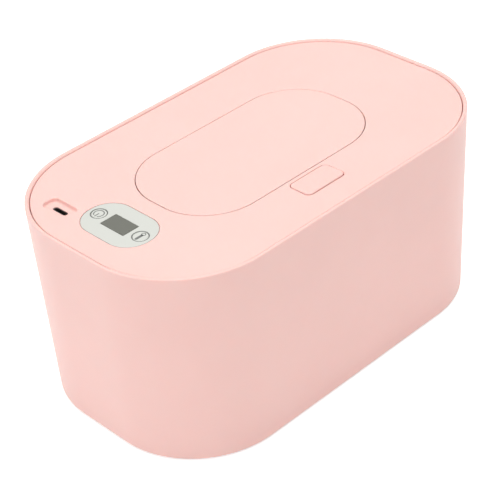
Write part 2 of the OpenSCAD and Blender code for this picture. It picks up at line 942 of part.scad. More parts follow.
// A gooseneck arm: it leaves the flap, passes round the edge of the lid's top and ends in a
// knuckle on the pin. The lug on its inner side takes the spring's leg.
module gooseneck() {
    lug_w = 2.6;
    lug_span = 11;
    web_in = (pin_r + knuckle_r) / 2;
    translate([arm_x, pivot[0], pivot[1]])
        upright()
            difference() {
                union() {
                    cylinder(r = knuckle_r, h = arm_w, center = true);
                    rotate([0, 0, neck_from])
                        rotate_extrude(angle = web_from - neck_from)
                            translate([neck_in, -arm_w / 2])
                                square([neck_out - neck_in, arm_w]);
                    rotate([0, 0, web_from])
                        rotate_extrude(angle = web_to - web_from)
                            translate([web_in, -arm_w / 2])
                                square([neck_out - web_in, arm_w]);
                    rotate([0, 0, neck_from])
                        rotate_extrude(angle = lug_span)
                            translate([neck_in, -arm_w / 2 - lug_w])
                                square([neck_out - neck_in, lug_w + eps]);
                    translate([-neck_out, 0, -arm_w / 2])
                        cube([neck_out - neck_in, plate_z - pivot[1] + 0.2, arm_w]);
                }
                cylinder(r = pin_r + bore_gap, h = arm_w + 2 * eps, center = true);
            }
}

module flap() {
    cx = flap_l / 2 - flap_r;
    cy = flap_w / 2 - flap_r;
    bar_t = 1.1; // the tongue's lower bar, which the latch holds down
    window_h = nose_t + 0.7;
    color(pink) {
        at_flap() {
            swept(concat(
                [[0, plate_z], [flap_r - flap_undercut, plate_z]],
                arc([flap_r - flap_land, lid_top - flap_land], flap_land, 0, 90, 3),
                [[0, lid_top]]
            ), cx, cy);
            core(plate_z, lid_top, cx, cy);
            layer(seal_ring_z, plate_z + 0.2)
                difference() {
                    stadium(seal_ring_l, seal_ring_w);
                    stadium(seal_ring_l - 2 * seal_ring_t, seal_ring_w - 2 * seal_ring_t);
                }
        }
        for (side = [0, 1])
            mirror([side, 0, 0])
                gooseneck();
        difference() {
            translate([button_at[0] - tongue_w / 2, tongue_y, nose_z - 0.2 - bar_t])
                cube([tongue_w, tongue_t, plate_z + 0.2 - (nose_z - 0.2 - bar_t)]);
            translate([button_at[0] - nose_w / 2 - 0.6, tongue_y - eps, nose_z - 0.2])
                cube([nose_w + 1.2, tongue_t + 2 * eps, window_h]);
        }
    }
}

module flap_seal()
    color(silicone_white)
        at_flap()
            layer(opening_rim_z + flap_seal_gap, seal_ring_z)
                difference() {
                    stadium(seal_ring_l + 1, seal_ring_w + 1);
                    stadium(seal_ring_l - 2 * seal_ring_t - 1.4, seal_ring_w - 2 * seal_ring_t - 1.4);
                }

module hinge_pin(side)
    color(steel)
        mirror([side, 0, 0])
            translate([pocket_x[0] - pocket_t - 0.4, pivot[0], pivot[1]])
                rotate([0, 90, 0])
                    cylinder(r = pin_r, h = pocket_x[1] - pocket_x[0] + 2 * pocket_t + 0.8);

module hinge_pin_left() hinge_pin(1);
module hinge_pin_right() hinge_pin(0);

// The torsion spring's wire: a leg under the lid's top, the turns round the pin, and a leg that
// leaves them straight and ends under the lug
function coil_frame(x, angle) = [
    [x, pivot[0] + coil_r * cos(angle), pivot[1] + coil_r * sin(angle)],
    [0, cos(angle), sin(angle)]
];
coil_from = 90;
coil_to = coil_from + 360 * coil_turns + coil_extra;
coil_steps = (coil_to - coil_from) * turn_steps / 360;
coil_body = [
    for (i = [0 : coil_steps])
        coil_frame(
            coil_x + coil_pitch * i / turn_steps,
            coil_from + 360 * i / turn_steps
        )
];
coil_frames = concat(
    [[coil_body[0][0] + [0, coil_leg_rear, 0], coil_body[0][1]]],
    coil_body,
    [[
        coil_body[coil_steps][0] + coil_leg_front * [0, -sin(coil_to), cos(coil_to)],
        coil_body[coil_steps][1]
    ]]
);
echo(least_gap_of_torsion_spring = least_gap(coil_body, coil_wire));

module flap_spring(side)
    color(steel)
        mirror([side, 0, 0])
            wire(coil_frames, coil_wire, [1, 0, 0]);

module flap_spring_left() flap_spring(1);
module flap_spring_right() flap_spring(0);

// ---- Latch and release button ---------------------------------------------------------------------

// The elastic hook: a foot on two posts, an upright arm, and a nose through the basin's wall
module latch_hook() {
    foot_l = 4.4;
    foot_h = 1.6;
    cam = 1.2; // slope at the arm's top, which the button's legs slide down
    arm_z = nose_z + nose_t + 0.6;
    arm_front = latch_arm_y - latch_arm_t;
    tip = basin_front + nose_reach;
    color(natural_plastic)
        difference() {
            translate([button_at[0], 0, 0])
                upright() {
                    linear_extrude(latch_w, center = true)
                        polygon([
                            [latch_arm_y - foot_l, pan_floor],
                            [latch_arm_y, pan_floor],
                            [latch_arm_y, arm_z - cam],
                            [arm_front, arm_z],
                            [arm_front, pan_floor + foot_h],
                            [latch_arm_y - foot_l, pan_floor + foot_h]
                        ]);
                    linear_extrude(nose_w, center = true)
                        polygon([
                            [arm_front, nose_z],
                            [tip, nose_z],
                            [tip, nose_z + 0.5],
                            [tip - 1.6, nose_z + nose_t],
                            [arm_front, nose_z + nose_t]
                        ]);
                }
            for (side = [-1, 1])
                translate([button_at[0] + side * latch_w / 3, latch_post_y, pan_floor - eps])
                    cylinder(d = latch_post_d + 0.2, h = foot_h + 2 * eps);
            translate([button_spring_at[0], button_spring_at[1], pan_floor - eps])
                cylinder(d = spring_tower_d + 0.6, h = foot_h + 2 * eps);
        }
}

module release_button() {
    edge_r = 0.5;
    cap_z = lid_top - button_top_t;
    cap_top = lid_top + button_proud;
    leg_z = nose_z + nose_t + 0.9;
    leg_front = latch_arm_y + 0.2;
    leg_rear = basin_front - basin_wall_t - 0.5;
    half_x = button_l / 2 + button_flange_w;
    front = button_at[1] - button_w / 2 - button_flange_w / 2;
    color(pink) {
        at_button() {
            swept(concat(
                [[0, cap_z - 0.2], [button_r, cap_z - 0.2]],
                arc([button_r - edge_r, cap_top - edge_r], edge_r, 0, 90, 4),
                [[0, cap_top]]
            ), button_l / 2 - button_r, button_w / 2 - button_r);
            core(cap_z - 0.2, cap_top, button_l / 2 - button_r, button_w / 2 - button_r);
        }
        translate([button_at[0] - half_x, front, cap_z - button_flange_t])
            cube([2 * half_x, leg_rear + 0.2 - front, button_flange_t]);
        for (side = [-1, 1])
            translate([button_at[0] + side * leg_x, 0, 0])
                upright()
                    linear_extrude(leg_w, center = true)
                        polygon([
                            [leg_front, cap_z - button_flange_t + 0.2],
                            [leg_front, leg_z + 0.8],
                            [leg_front + 0.8, leg_z],
                            [leg_rear, leg_z],
                            [leg_rear, cap_z - button_flange_t + 0.2]
                        ]);
    }
}

button_spring_z1 = lid_top - button_top_t - button_flange_t - coil_wire / 2;
button_spring_z0 = spring_tower_z + coil_wire / 2;
button_spring_steps = button_spring_turns * turn_steps;
button_spring_frames = [
    for (i = [0 : button_spring_steps])
        let (a = 360 * i / turn_steps)
            [
                [
                    button_spring_at[0] + button_spring_r * cos(a),
                    button_spring_at[1] + button_spring_r * sin(a),
                    button_spring_z0 + (button_spring_z1 - button_spring_z0) * i / button_spring_steps
                ],
                [cos(a), sin(a), 0]
            ]
];
echo(least_gap_of_button_spring = least_gap(button_spring_frames, coil_wire));

module button_spring()
    color(steel)
        wire(button_spring_frames, coil_wire, [0, 0, -1]);

// ---- What is drawn -----------------------------------------------------------------------------------

body_shell();
inner_tub();
base_cover();
base_screws();
foot_front_left();
foot_front_right();
foot_rear_left();
foot_rear_right();
lid_cover();
lid_base();
lid_seal();
cover_screws();
heater_plate();
heater_film();
heater_leads();
thermal_fuse();
temperature_sensor();
sensor_leads();
wipe_guide();
control_board();
board_screws();
usb_socket();
display_module();
display_window();
panel_overlay();
power_switch();
temperature_switch();
power_key();
power_plunger();
temperature_key();
temperature_plunger();
hinge_pin_left();
hinge_pin_right();
flap_spring_left();
flap_spring_right();
flap();
flap_seal();
latch_hook();
release_button();
button_spring();
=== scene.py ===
"""A top-heated wipe warmer, dressed for its picture.

Every moulded shell, seal, spring, lead and printed mark is a surface worked out with numpy from a
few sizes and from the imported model, and every piece gets a finish of its own. Sizes are in
millimetres; they become metres where a mesh is made.
"""

import logging
import math
from dataclasses import dataclass
from enum import Enum
from functools import cached_property
from typing import Sequence

import bmesh
import bpy
import numpy as np
from mathutils import Matrix, Vector
from mathutils.geometry import tessellate_polygon


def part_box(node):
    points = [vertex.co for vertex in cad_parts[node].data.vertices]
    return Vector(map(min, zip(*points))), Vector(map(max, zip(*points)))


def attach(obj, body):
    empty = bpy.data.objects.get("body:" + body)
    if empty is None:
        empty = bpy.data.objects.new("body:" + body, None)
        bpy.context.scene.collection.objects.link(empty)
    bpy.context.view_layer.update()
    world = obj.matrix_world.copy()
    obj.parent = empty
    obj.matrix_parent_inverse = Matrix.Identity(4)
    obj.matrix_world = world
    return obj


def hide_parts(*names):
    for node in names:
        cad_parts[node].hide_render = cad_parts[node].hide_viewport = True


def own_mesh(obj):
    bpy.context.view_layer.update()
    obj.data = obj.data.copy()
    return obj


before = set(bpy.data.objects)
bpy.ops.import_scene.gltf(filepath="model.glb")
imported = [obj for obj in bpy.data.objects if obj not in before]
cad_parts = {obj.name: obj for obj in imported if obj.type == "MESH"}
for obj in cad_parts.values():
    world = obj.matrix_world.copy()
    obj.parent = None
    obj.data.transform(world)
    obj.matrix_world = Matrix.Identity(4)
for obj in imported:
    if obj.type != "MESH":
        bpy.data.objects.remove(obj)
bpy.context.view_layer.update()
log = logging.getLogger("wipe_warmer")

MM = 0.001
WELD = 1e-7  # points closer than this, in metres, are one
CLOSE = 5e-4  # neighbours on a loop closer than this are one
EASE = 0.05  # width of the flat beside a round
SLIVER = 0.001  # keeps the two arcs of a half-round end apart
SHARP_ANGLE = math.radians(34)
Corner = tuple[float, float, float]
Pair = tuple[float, float]
Triple = tuple[float, float, float]
Socket = bpy.types.NodeSocket


class Body(Enum):
    """The bodies that pieces ride on."""

    BASE = "base"
    LID = "lid"
    FLAP = "flap"
    BUTTON = "button"
    POWER_KEY = "power_key"
    TEMPERATURE_KEY = "temperature_key"


class Slot(Enum):
    """The record's material slots."""

    PINK = "body_pink"
    NATURAL = "natural_plastic"
    RUBBER = "foot_rubber"
    SILICONE = "silicone"
    STEEL = "steel"
    ALUMINIUM = "heater_aluminium"
    FILM = "heater_film"
    BOARD = "circuit_board"
    BLACK = "black_plastic"
    PANEL = "panel_grey"
    LENS = "display_lens"
    RED_LEAD = "lead_red"
    IVORY_LEAD = "lead_ivory"


class Operation(Enum):
    """What a solid does to a piece."""

    JOIN = "UNION"
    CUT = "DIFFERENCE"


KEYS = {"power_key": Body.POWER_KEY, "temperature_key": Body.TEMPERATURE_KEY}


# ---- Places and outlines ----


@dataclass(frozen=True)
class Place:
    """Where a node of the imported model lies, in millimetres.

    Args:
        low: Its lowest corner.
        high: Its highest corner.
    """

    low: np.ndarray
    high: np.ndarray

    @classmethod
    def of(cls, node: str) -> "Place":
        """Measures a node."""
        low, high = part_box(node)
        return cls(np.array(low) / MM, np.array(high) / MM)

    @property
    def middle(self) -> np.ndarray:
        """The middle of the box."""
        return (self.low + self.high) / 2

    @property
    def at(self) -> Pair:
        """Its middle's X and Y."""
        return tuple(self.middle[:2])

    @property
    def size(self) -> np.ndarray:
        """The size of the box."""
        return self.high - self.low

    @property
    def levels(self) -> Pair:
        """The heights of its underside and its top."""
        return self.low[2], self.high[2]


@dataclass(frozen=True)
class Plan:
    """A plan outline: a rectangle with round corners, held by the centres of its corner arcs.

    Args:
        core_x: Half the distance between the corner centres along X.
        core_y: The same along Y.
        radius: The corner radius of the outline itself.
        at: The outline's middle.
        steps: Segments in a quarter turn.
    """

    core_x: float
    core_y: float
    radius: float
    at: Pair = (0.0, 0.0)
    steps: int = 12

    @classmethod
    def box(cls, size: Sequence[float], radius: float, at: Pair, steps: int = 12) -> "Plan":
        """Makes the outline of a given size, corner radius and middle."""
        return cls(size[0] / 2 - radius, size[1] / 2 - radius, radius, at, steps)

    @classmethod
    def disc(cls, diameter: float, at: Pair, steps: int = 12) -> "Plan":
        """Makes a circle."""
        return cls(0.0, 0.0, diameter / 2, at, steps)

    def grown(self, amount: float, steps: int) -> "Plan":
        """Grows the outline, with other steps."""
        return Plan(self.core_x, self.core_y, self.radius + amount, self.at, steps)

    def loop(self, grow: float = 0.0) -> np.ndarray:
        """Works out the outline, grown by an amount.

        The point at angle t is at + (sx core_x, sy core_y) + (radius + grow) (cos t, sin t), where
        sx and sy are the signs of the quarter that t lies in.

        Args:
            grow: How far outside the outline to go.

        Returns:
            The points, anticlockwise, as an array of x and y.
        """
        turn = np.arange(4)[:, None] * math.pi / 2 + np.linspace(0, math.pi / 2, self.steps + 1)
        sign_x = np.array([1, -1, -1, 1])[:, None]
        sign_y = np.array([1, 1, -1, -1])[:, None]
        x = self.at[0] + sign_x * self.core_x + (self.radius + grow) * np.cos(turn)
        y = self.at[1] + sign_y * self.core_y + (self.radius + grow) * np.sin(turn)
        return np.stack([x.ravel(), y.ravel()], axis=1)


def four(x: float, y: float) -> list[Pair]:
    """Gives a place and its mirror images across X = 0 and Y = 0."""
    return [(side_x * x, side_y * y) for side_x in (-1, 1) for side_y in (-1, 1)]


def lifted(loop: np.ndarray, height: float = 0.0) -> np.ndarray:
    """Gives points of X and Y a height."""
    return np.concatenate([loop, np.full((len(loop), 1), height)], axis=1)


def circle(radius: float, start: float, end: float, steps: int) -> np.ndarray:
    """Works out points at even angles on an arc about the origin."""
    angle = np.linspace(start, end, steps)
    return radius * np.stack([np.cos(angle), np.sin(angle)], axis=1)


def rounded(corners: Sequence[Corner], closed: bool = False, steps: int = 6) -> np.ndarray:
    """Rounds the corners of a profile and gives each round a narrow flat beside it.

    At a corner P between unit vectors u and v that enclose the angle a, the arc runs from
    P + u t to P + v t, with t = r / tan(a / 2), about C = P + (u + v) / |u + v| r / sin(a / 2). Its
    points are C + (sin((1 - s) f) A + sin(s f) B) / sin f for s from 0 to 1, where A and B lead
    from C to its ends and f = pi - a is the turn.

    Args:
        corners: For each corner its offset, its height and its radius.
        closed: Whether the last corner joins the first.
        steps: Segments in each round.

    Returns:
        The profile's points as an array of offset and height.
    """
    table = np.array(corners, dtype=float)
    points, radii = table[:, :2], table[:, 2]
    back = np.roll(points, 1, axis=0) - points
    ahead = np.roll(points, -1, axis=0) - points
    back_length = np.linalg.norm(back, axis=1)
    ahead_length = np.linalg.norm(ahead, axis=1)
    u = back / back_length[:, None]
    v = ahead / ahead_length[:, None]
    angle = np.arccos(np.clip((u * v).sum(1), -1, 1))
    tangent = np.where(radii > 0, radii / np.tan(angle / 2), 0)
    s = np.linspace(0, 1, steps + 1)[:, None]
    runs: list[np.ndarray] = []
    for i, (point, radius) in enumerate(zip(points, radii)):
        if radius == 0:
            runs.append(point[None])
            continue
        to_centre = (u[i] + v[i]) / np.linalg.norm(u[i] + v[i]) * radius / math.sin(angle[i] / 2)
        centre = point + to_centre
        start = point + u[i] * tangent[i] - centre
        end = point + v[i] * tangent[i] - centre
        turn = math.pi - angle[i]
        arc = centre + (np.sin((1 - s) * turn) * start + np.sin(s * turn) * end) / math.sin(turn)
        following = tangent[(i + 1) % len(points)]
        before = min(EASE, (back_length[i] - tangent[i] - tangent[i - 1]) / 3)
        after = min(EASE, (ahead_length[i] - tangent[i] - following) / 3)
        runs.append((point + u[i] * (tangent[i] + before))[None])
        runs.append(arc)
        runs.append((point + v[i] * (tangent[i] + after))[None])
    if closed:
        runs.append(runs[0][:1])
    return np.concatenate(runs)


# ---- Surfaces ----


class Surface:
    """Points and the faces between them, gathered part by part and made one mesh at the end."""

    def __init__(self) -> None:
        """Starts empty."""
        self.points: list[np.ndarray] = []
        self.faces: list[list[int]] = []
        self.count = 0

    def _add(self, points: np.ndarray, faces: np.ndarray) -> "Surface":
        """Adds points and the faces between them.

        Args:
            points: The points.
            faces: The faces, which count from the first of these points.

        Returns:
            This surface.
        """
        self.faces.extend((faces + self.count).tolist())
        self.points.append(points)
        self.count += len(points)
        return self

    def grid(self, points: np.ndarray) -> "Surface":
        """Adds rows of points with four-sided faces between them; each row is a closed ring.

        Args:
            points: An array of rows by columns by 3.

        Returns:
            This surface.
        """
        rows, columns, _ = points.shape
        row = np.arange(rows - 1)[:, None] * columns
        column = np.arange(columns)
        following = (column + 1) % columns
        up = row + columns
        faces = np.stack([row + column, row + following, up + following, up + column], axis=-1)
        return self._add(points.reshape(-1, 3), faces.reshape(-1, 4))

    def carry(self, profile: np.ndarray, plan: Plan) -> "Surface":
        """Carries a profile round an outline: at its point (g, z) is the loop grown by g, at z."""
        return self.grid(np.stack([lifted(plan.loop(grow), height) for grow, height in profile]))

    def wall(
        self, plan: Plan, corners: Sequence[Corner], steps: int = 6
    ) -> tuple[np.ndarray, np.ndarray]:
        """Carries an open profile with round corners round an outline.

        Args:
            plan: The outline.
            corners: The profile's corners.
            steps: Segments in each round.

        Returns:
            The loops of its first and its last point, where faces join it.
        """
        self.carry(rounded(corners, steps=steps), plan)
        return plan.loop(corners[0][0]), plan.loop(corners[-1][0])

    def _fill(self, *loops: np.ndarray) -> np.ndarray:
        """Divides the area inside the first loop and outside the others into triangles."""
        return np.array(tessellate_polygon([lifted(loop).tolist() for loop in loops]))

    def level(self, height: float, *loops: np.ndarray) -> "Surface":
        """Adds a level face.

        Args:
            height: Its height.
            loops: The loop round it, and the loops of its holes.

        Returns:
            This surface.
        """
        clean = []
        for loop in loops:
            apart = np.linalg.norm(loop - np.roll(loop, 1, axis=0), axis=1) > CLOSE
            clean.append(loop[apart])
        return self._add(lifted(np.concatenate(clean), height), self._fill(*clean))

    def solid(self, plan: Plan, corners: Sequence[Corner], steps: int = 4) -> "Surface":
        """Adds a closed solid: a profile from its lower to its upper middle, and both flats.

        Args:
            plan: The outline.
            corners: The profile's corners, the first and last on the flats.
            steps: Segments in each round.

        Returns:
            This surface.
        """
        lower, upper = self.wall(plan, corners, steps)
        return self.level(corners[0][1], lower).level(corners[-1][1], upper)

    def block(
        self, low: Sequence[float], high: Sequence[float], radius: float, edge: float
    ) -> "Surface":
        """Adds a block with round upright corners and round edges.

        Args:
            low: Its lowest corner.
            high: Its highest corner.
            radius: Radius of its upright corners.
            edge: Radius of its other edges.

        Returns:
            This surface.
        """
        size = (high[0] - low[0], high[1] - low[1])
        plan = Plan.box(size, radius, ((low[0] + high[0]) / 2, (low[1] + high[1]) / 2), 4)
        inner, edge = -radius * 0.9, min(edge, radius * 0.6)  # so the flats keep round corners
        corners = [(inner, low[2], 0), (0, low[2], edge), (0, high[2], edge), (inner, high[2], 0)]
        return self.solid(plan, corners, 3)

    def prism(self, outline: np.ndarray, hole: np.ndarray, low: float, high: float) -> "Surface":
        """Adds an upright plate that is thick along X.

        Args:
            outline: Its outline as points of Y and Z.
            hole: The outline of its hole.
            low: Its lowest X.
            high: Its highest X.

        Returns:
            This surface.
        """
        triangles = self._fill(outline, hole)
        for x in (low, high):
            self._add(np.roll(lifted(np.concatenate([outline, hole]), x), 1, axis=1), triangles)
        for loop in (outline, hole):
            self.grid(np.roll(np.stack([lifted(loop, x) for x in (low, high)]), 1, axis=2))
        return self

    def tube(
        self, path: np.ndarray, radius: float, across: Sequence[float], sides: int = 10
    ) -> "Surface":
        """Adds a round tube along a path, closed at both ends by a short dome.

        With the tangent t, p is the across vector less its part along t, made a unit, and q is
        t x p. The ring at a point is path + r (cos a p + sin a q), and r falls to nothing past
        each end.

        Args:
            path: The points that the tube follows.
            radius: Its radius.
            across: A direction that the path never takes.
            sides: Points in a ring.

        Returns:
            This surface.
        """
        first, last = ends_of(path)
        dome = np.array([1.0, 0.7, 0.35]) * math.pi / 2
        lift = np.sin(dome)[:, None] * radius
        path = np.concatenate([path[0] + lift * first, path, path[-1] + lift[::-1] * last])
        radii = np.full(len(path), radius)
        radii[:3] = radius * np.cos(dome)
        radii[-3:] = radii[:3][::-1]
        tangent = np.gradient(path, axis=0)
        tangent /= np.linalg.norm(tangent, axis=1)[:, None]
        p = np.array(across) - tangent * (tangent @ np.array(across))[:, None]
        p /= np.linalg.norm(p, axis=1)[:, None]
        q = np.cross(tangent, p)
        angle = np.linspace(0, 2 * math.pi, sides, endpoint=False)[None, :, None]
        ring = np.cos(angle) * p[:, None] + np.sin(angle) * q[:, None]
        return self.grid(path[:, None] + radii[:, None, None] * ring)

    def mirrored(self) -> "Surface":
        """Adds a mirror image across X = 0 of everything gathered so far."""
        points, faces = np.concatenate(self.points), self.faces
        self.faces = faces + [[index + self.count for index in face] for face in faces]
        self.points.append(points * np.array([-1, 1, 1]))
        self.count += len(points)
        return self

    def make(self, name: str) -> bpy.types.Object:
        """Makes the mesh, welds its doubles and points its faces outwards.

        Args:
            name: The object's name.

        Returns:
            The object, at the origin.
        """
        mesh = bpy.data.meshes.new(name)
        mesh.from_pydata((np.concatenate(self.points) * MM).tolist(), [], self.faces)
        work = bmesh.new()
        work.from_mesh(mesh)
        bmesh.ops.remove_doubles(work, verts=work.verts, dist=WELD)
        bmesh.ops.dissolve_degenerate(work, edges=work.edges, dist=WELD)
        bmesh.ops.recalc_face_normals(work, faces=work.faces)
        open_edges = sum(not edge.is_manifold for edge in work.edges)
        work.to_mesh(mesh)
        work.free()
        if open_edges:
            log.warning("%s has %d open edges", name, open_edges)
        return placed(name, mesh)


def ends_of(path: np.ndarray) -> tuple[np.ndarray, np.ndarray]:
    """Gives the unit vectors that lead out of a path at its first and last point."""
    first, last = path[0] - path[1], path[-1] - path[-2]
    return first / np.linalg.norm(first), last / np.linalg.norm(last)


def placed(name: str, data: bpy.types.ID) -> bpy.types.Object:
    """Makes an object of a mesh, a lamp or a camera and puts it into the scene.

    Args:
        name: The object's name.
        data: The mesh, lamp or camera.

    Returns:
        The object.
    """
    item = bpy.data.objects.new(name, data)
    bpy.context.scene.collection.objects.link(item)
    return item


def hoop(plan: Plan, corners: Sequence[Corner], steps: int = 6) -> Surface:
    """Carries a closed section with round corners round an outline."""
    return Surface().carry(rounded(corners, True, steps), plan)


def keep(piece: bpy.types.Object) -> None:
    """Keeps what a piece's modifiers make of it as its mesh.

    Args:
        piece: The piece, which loses its modifiers.
    """
    evaluated = piece.evaluated_get(bpy.context.evaluated_depsgraph_get())
    result = bpy.data.meshes.new_from_object(evaluated)
    piece.modifiers.clear()
    piece.data = result


def combine(piece: bpy.types.Object, operation: Operation, tool: bpy.types.Object) -> None:
    """Joins a solid to a piece or cuts it out of it, and removes the solid.

    A solid reaches a few tenths of a millimetre past the faces that it meets, so that no two of
    them coincide.

    Args:
        piece: The piece, whose mesh is replaced by the result.
        operation: What the solid does.
        tool: The solid.
    """
    modifier = piece.modifiers.new(operation.value, "BOOLEAN")
    modifier.operation = operation.value
    modifier.object = tool
    modifier.solver = "EXACT"
    modifier.use_self = operation is Operation.JOIN
    keep(piece)
    bpy.data.objects.remove(tool)


def bevelled(piece: bpy.types.Object, width: float) -> None:
    """Rounds the sharp edges of a piece.

    Args:
        piece: The piece, whose mesh is replaced by the result.
        width: Width of the round.
    """
    modifier = piece.modifiers.new("edges", "BEVEL")
    modifier.width = width * MM
    modifier.segments = 2
    modifier.limit_method = "ANGLE"
    modifier.angle_limit = SHARP_ANGLE
    keep(piece)


# ---- Finishes ----


class Graph:
    """The nodes of a material or of the world."""

    def __init__(self, owner: bpy.types.Material | bpy.types.World) -> None:
        """Empties the owner's nodes.

        Args:
            owner: The material or the world.
        """
        owner.use_nodes = True
        self.tree = owner.node_tree
        self.tree.nodes.clear()

    def add(
        self,
        kind: str,
        inputs: dict[str | int, float | Sequence[float] | Socket],
        **settings: str | bool,
    ) -> bpy.types.Node:
        """Adds a node.

        Args:
            kind: Its kind, without its first words ShaderNode.
            inputs: For each input its value, or the socket that leads to it.
            settings: Its other settings.

        Returns:
            The node.
        """
        node = self.tree.nodes.new("ShaderNode" + kind)
        for name, value in settings.items():
            setattr(node, name, value)
        for name, value in inputs.items():
            if isinstance(value, Socket):
                self.tree.links.new(value, node.inputs[name])
            else:
                node.inputs[name].default_value = value
        return node

    def noise(self, size: float, stretch: Triple = (1, 1, 1), detail: float = 2.0) -> Socket:
        """Adds noise on Object coordinates.

        Args:
            size: Size of its blotches in millimetres.
            stretch: How much longer they are along X, Y and Z.
            detail: Octaves of finer noise in it.

        Returns:
            The socket with its value, about 0.5 in the middle.
        """
        place = self.add("TexCoord", {}).outputs["Object"]
        scale = [1 / factor for factor in stretch]
        mapping = self.add("Mapping", {"Scale": scale, "Vector": place})
        inputs = {"Scale": 1 / (size * MM), "Detail": detail, "Vector": mapping.outputs["Vector"]}
        return self.add("TexNoise", inputs).outputs["Fac"]

    def between(self, source: Socket, middle: float, spread: float) -> Socket:
        """Spreads the middle of a noise over a range on both sides of a value.

        Args:
            source: The noise.
            middle: The value.
            spread: How far the range goes to each side.

        Returns:
            The socket with the result.
        """
        ends = {"To Min": middle - spread, "To Max": middle + spread}
        inputs = {"Value": source, "From Min": 0.3, "From Max": 0.7, **ends}
        return self.add("MapRange", inputs).outputs["Result"]

    def colours(self, source: Socket, low: Sequence[float], high: Sequence[float]) -> Socket:
        """Mixes two shades by a noise.

        Args:
            source: The noise.
            low: Colour where the noise is low.
            high: Colour where it is high.

        Returns:
            The socket with the colour.
        """
        ramp = self.add("ValToRGB", {"Fac": source})
        shades = ((0.35, low), (0.65, high))
        for element, (position, colour) in zip(ramp.color_ramp.elements, shades):
            element.position = position
            element.color = (*colour, 1)
        return ramp.outputs["Color"]

    def relief(self, source: Socket, depth: float) -> Socket:
        """Turns a noise into relief of a given depth in millimetres."""
        return self.add("Bump", {"Height": source, "Distance": depth * MM}).outputs["Normal"]

    def shade(self, inputs: dict[str, float | Sequence[float] | Socket]) -> None:
        """Adds the shader, with its inputs, and the output."""
        shader = self.add("BsdfPrincipled", inputs)
        self.add("OutputMaterial", {"Surface": shader.outputs["BSDF"]})


@dataclass(frozen=True)
class Moulded:
    """Moulded plastic or rubber, with the fine texture of its mould.

    Args:
        name: The material's name.
        slot: The record's material slot; not used.
        colour: Its linear base colour.
        roughness: Its middle roughness.
        shade: How far the colour varies, as a share.
        grain: Size of the mould's texture.
        relief: Depth of that texture.
        coat: Weight of a clear gloss over it.
        subsurface: How much light passes through its skin.
        specular: Level of its mirror reflection.
    """

    name: str
    slot: Slot
    colour: Triple
    roughness: float
    shade: float = 0.02
    grain: float = 0.35
    relief: float = 0.004
    coat: float = 0.0
    subsurface: float = 0.0
    specular: float = 0.5

    @cached_property
    def material(self) -> bpy.types.Material:
        """The material, with broad clouds in its colour, finer ones in its gloss, and grain."""
        made = bpy.data.materials.new(self.name)
        graph = Graph(made)
        low, high = ([min(1, c * (1 + s)) for c in self.colour] for s in (-self.shade, self.shade))
        graph.shade(
            {
                "Base Color": graph.colours(graph.noise(38, detail=3), low, high),
                "Roughness": graph.between(graph.noise(6), self.roughness, 0.03),
                "Normal": graph.relief(graph.noise(self.grain, detail=1), self.relief),
                "Coat Weight": self.coat,
                "Coat Roughness": 0.12,
                "Subsurface Weight": self.subsurface,
                "Subsurface Radius": (1.0, 0.45, 0.35),
                "Subsurface Scale": 1.2 * MM,
                "Specular IOR Level": self.specular,
            }
        )
        return made


@dataclass(frozen=True)
class Metal:
    """Sheet or wire metal with drawn or brushed lines.

    Args:
        name: The material's name.
        slot: The record's material slot; not used.
        colour: Its linear base colour.
        roughness: Its middle roughness.
        grain: Width of a brushed line.
        stretch: How much longer the lines are along X, Y and Z.
    """

    name: str
    slot: Slot
    colour: Triple
    roughness: float
    grain: float = 0.15
    stretch: Triple = (1, 1, 1)

    @cached_property
    def material(self) -> bpy.types.Material:
        """The material, whose lines show in its colour, gloss and relief."""
        made = bpy.data.materials.new(self.name)
        graph = Graph(made)
        lines = graph.noise(self.grain, self.stretch, 3)
        graph.shade(
            {
                "Base Color": graph.colours(lines, [0.9 * c for c in self.colour], self.colour),
                "Roughness": graph.between(lines, self.roughness, 0.07),
                "Normal": graph.relief(lines, 0.002),
                "Metallic": 1.0,
            }
        )
        return made


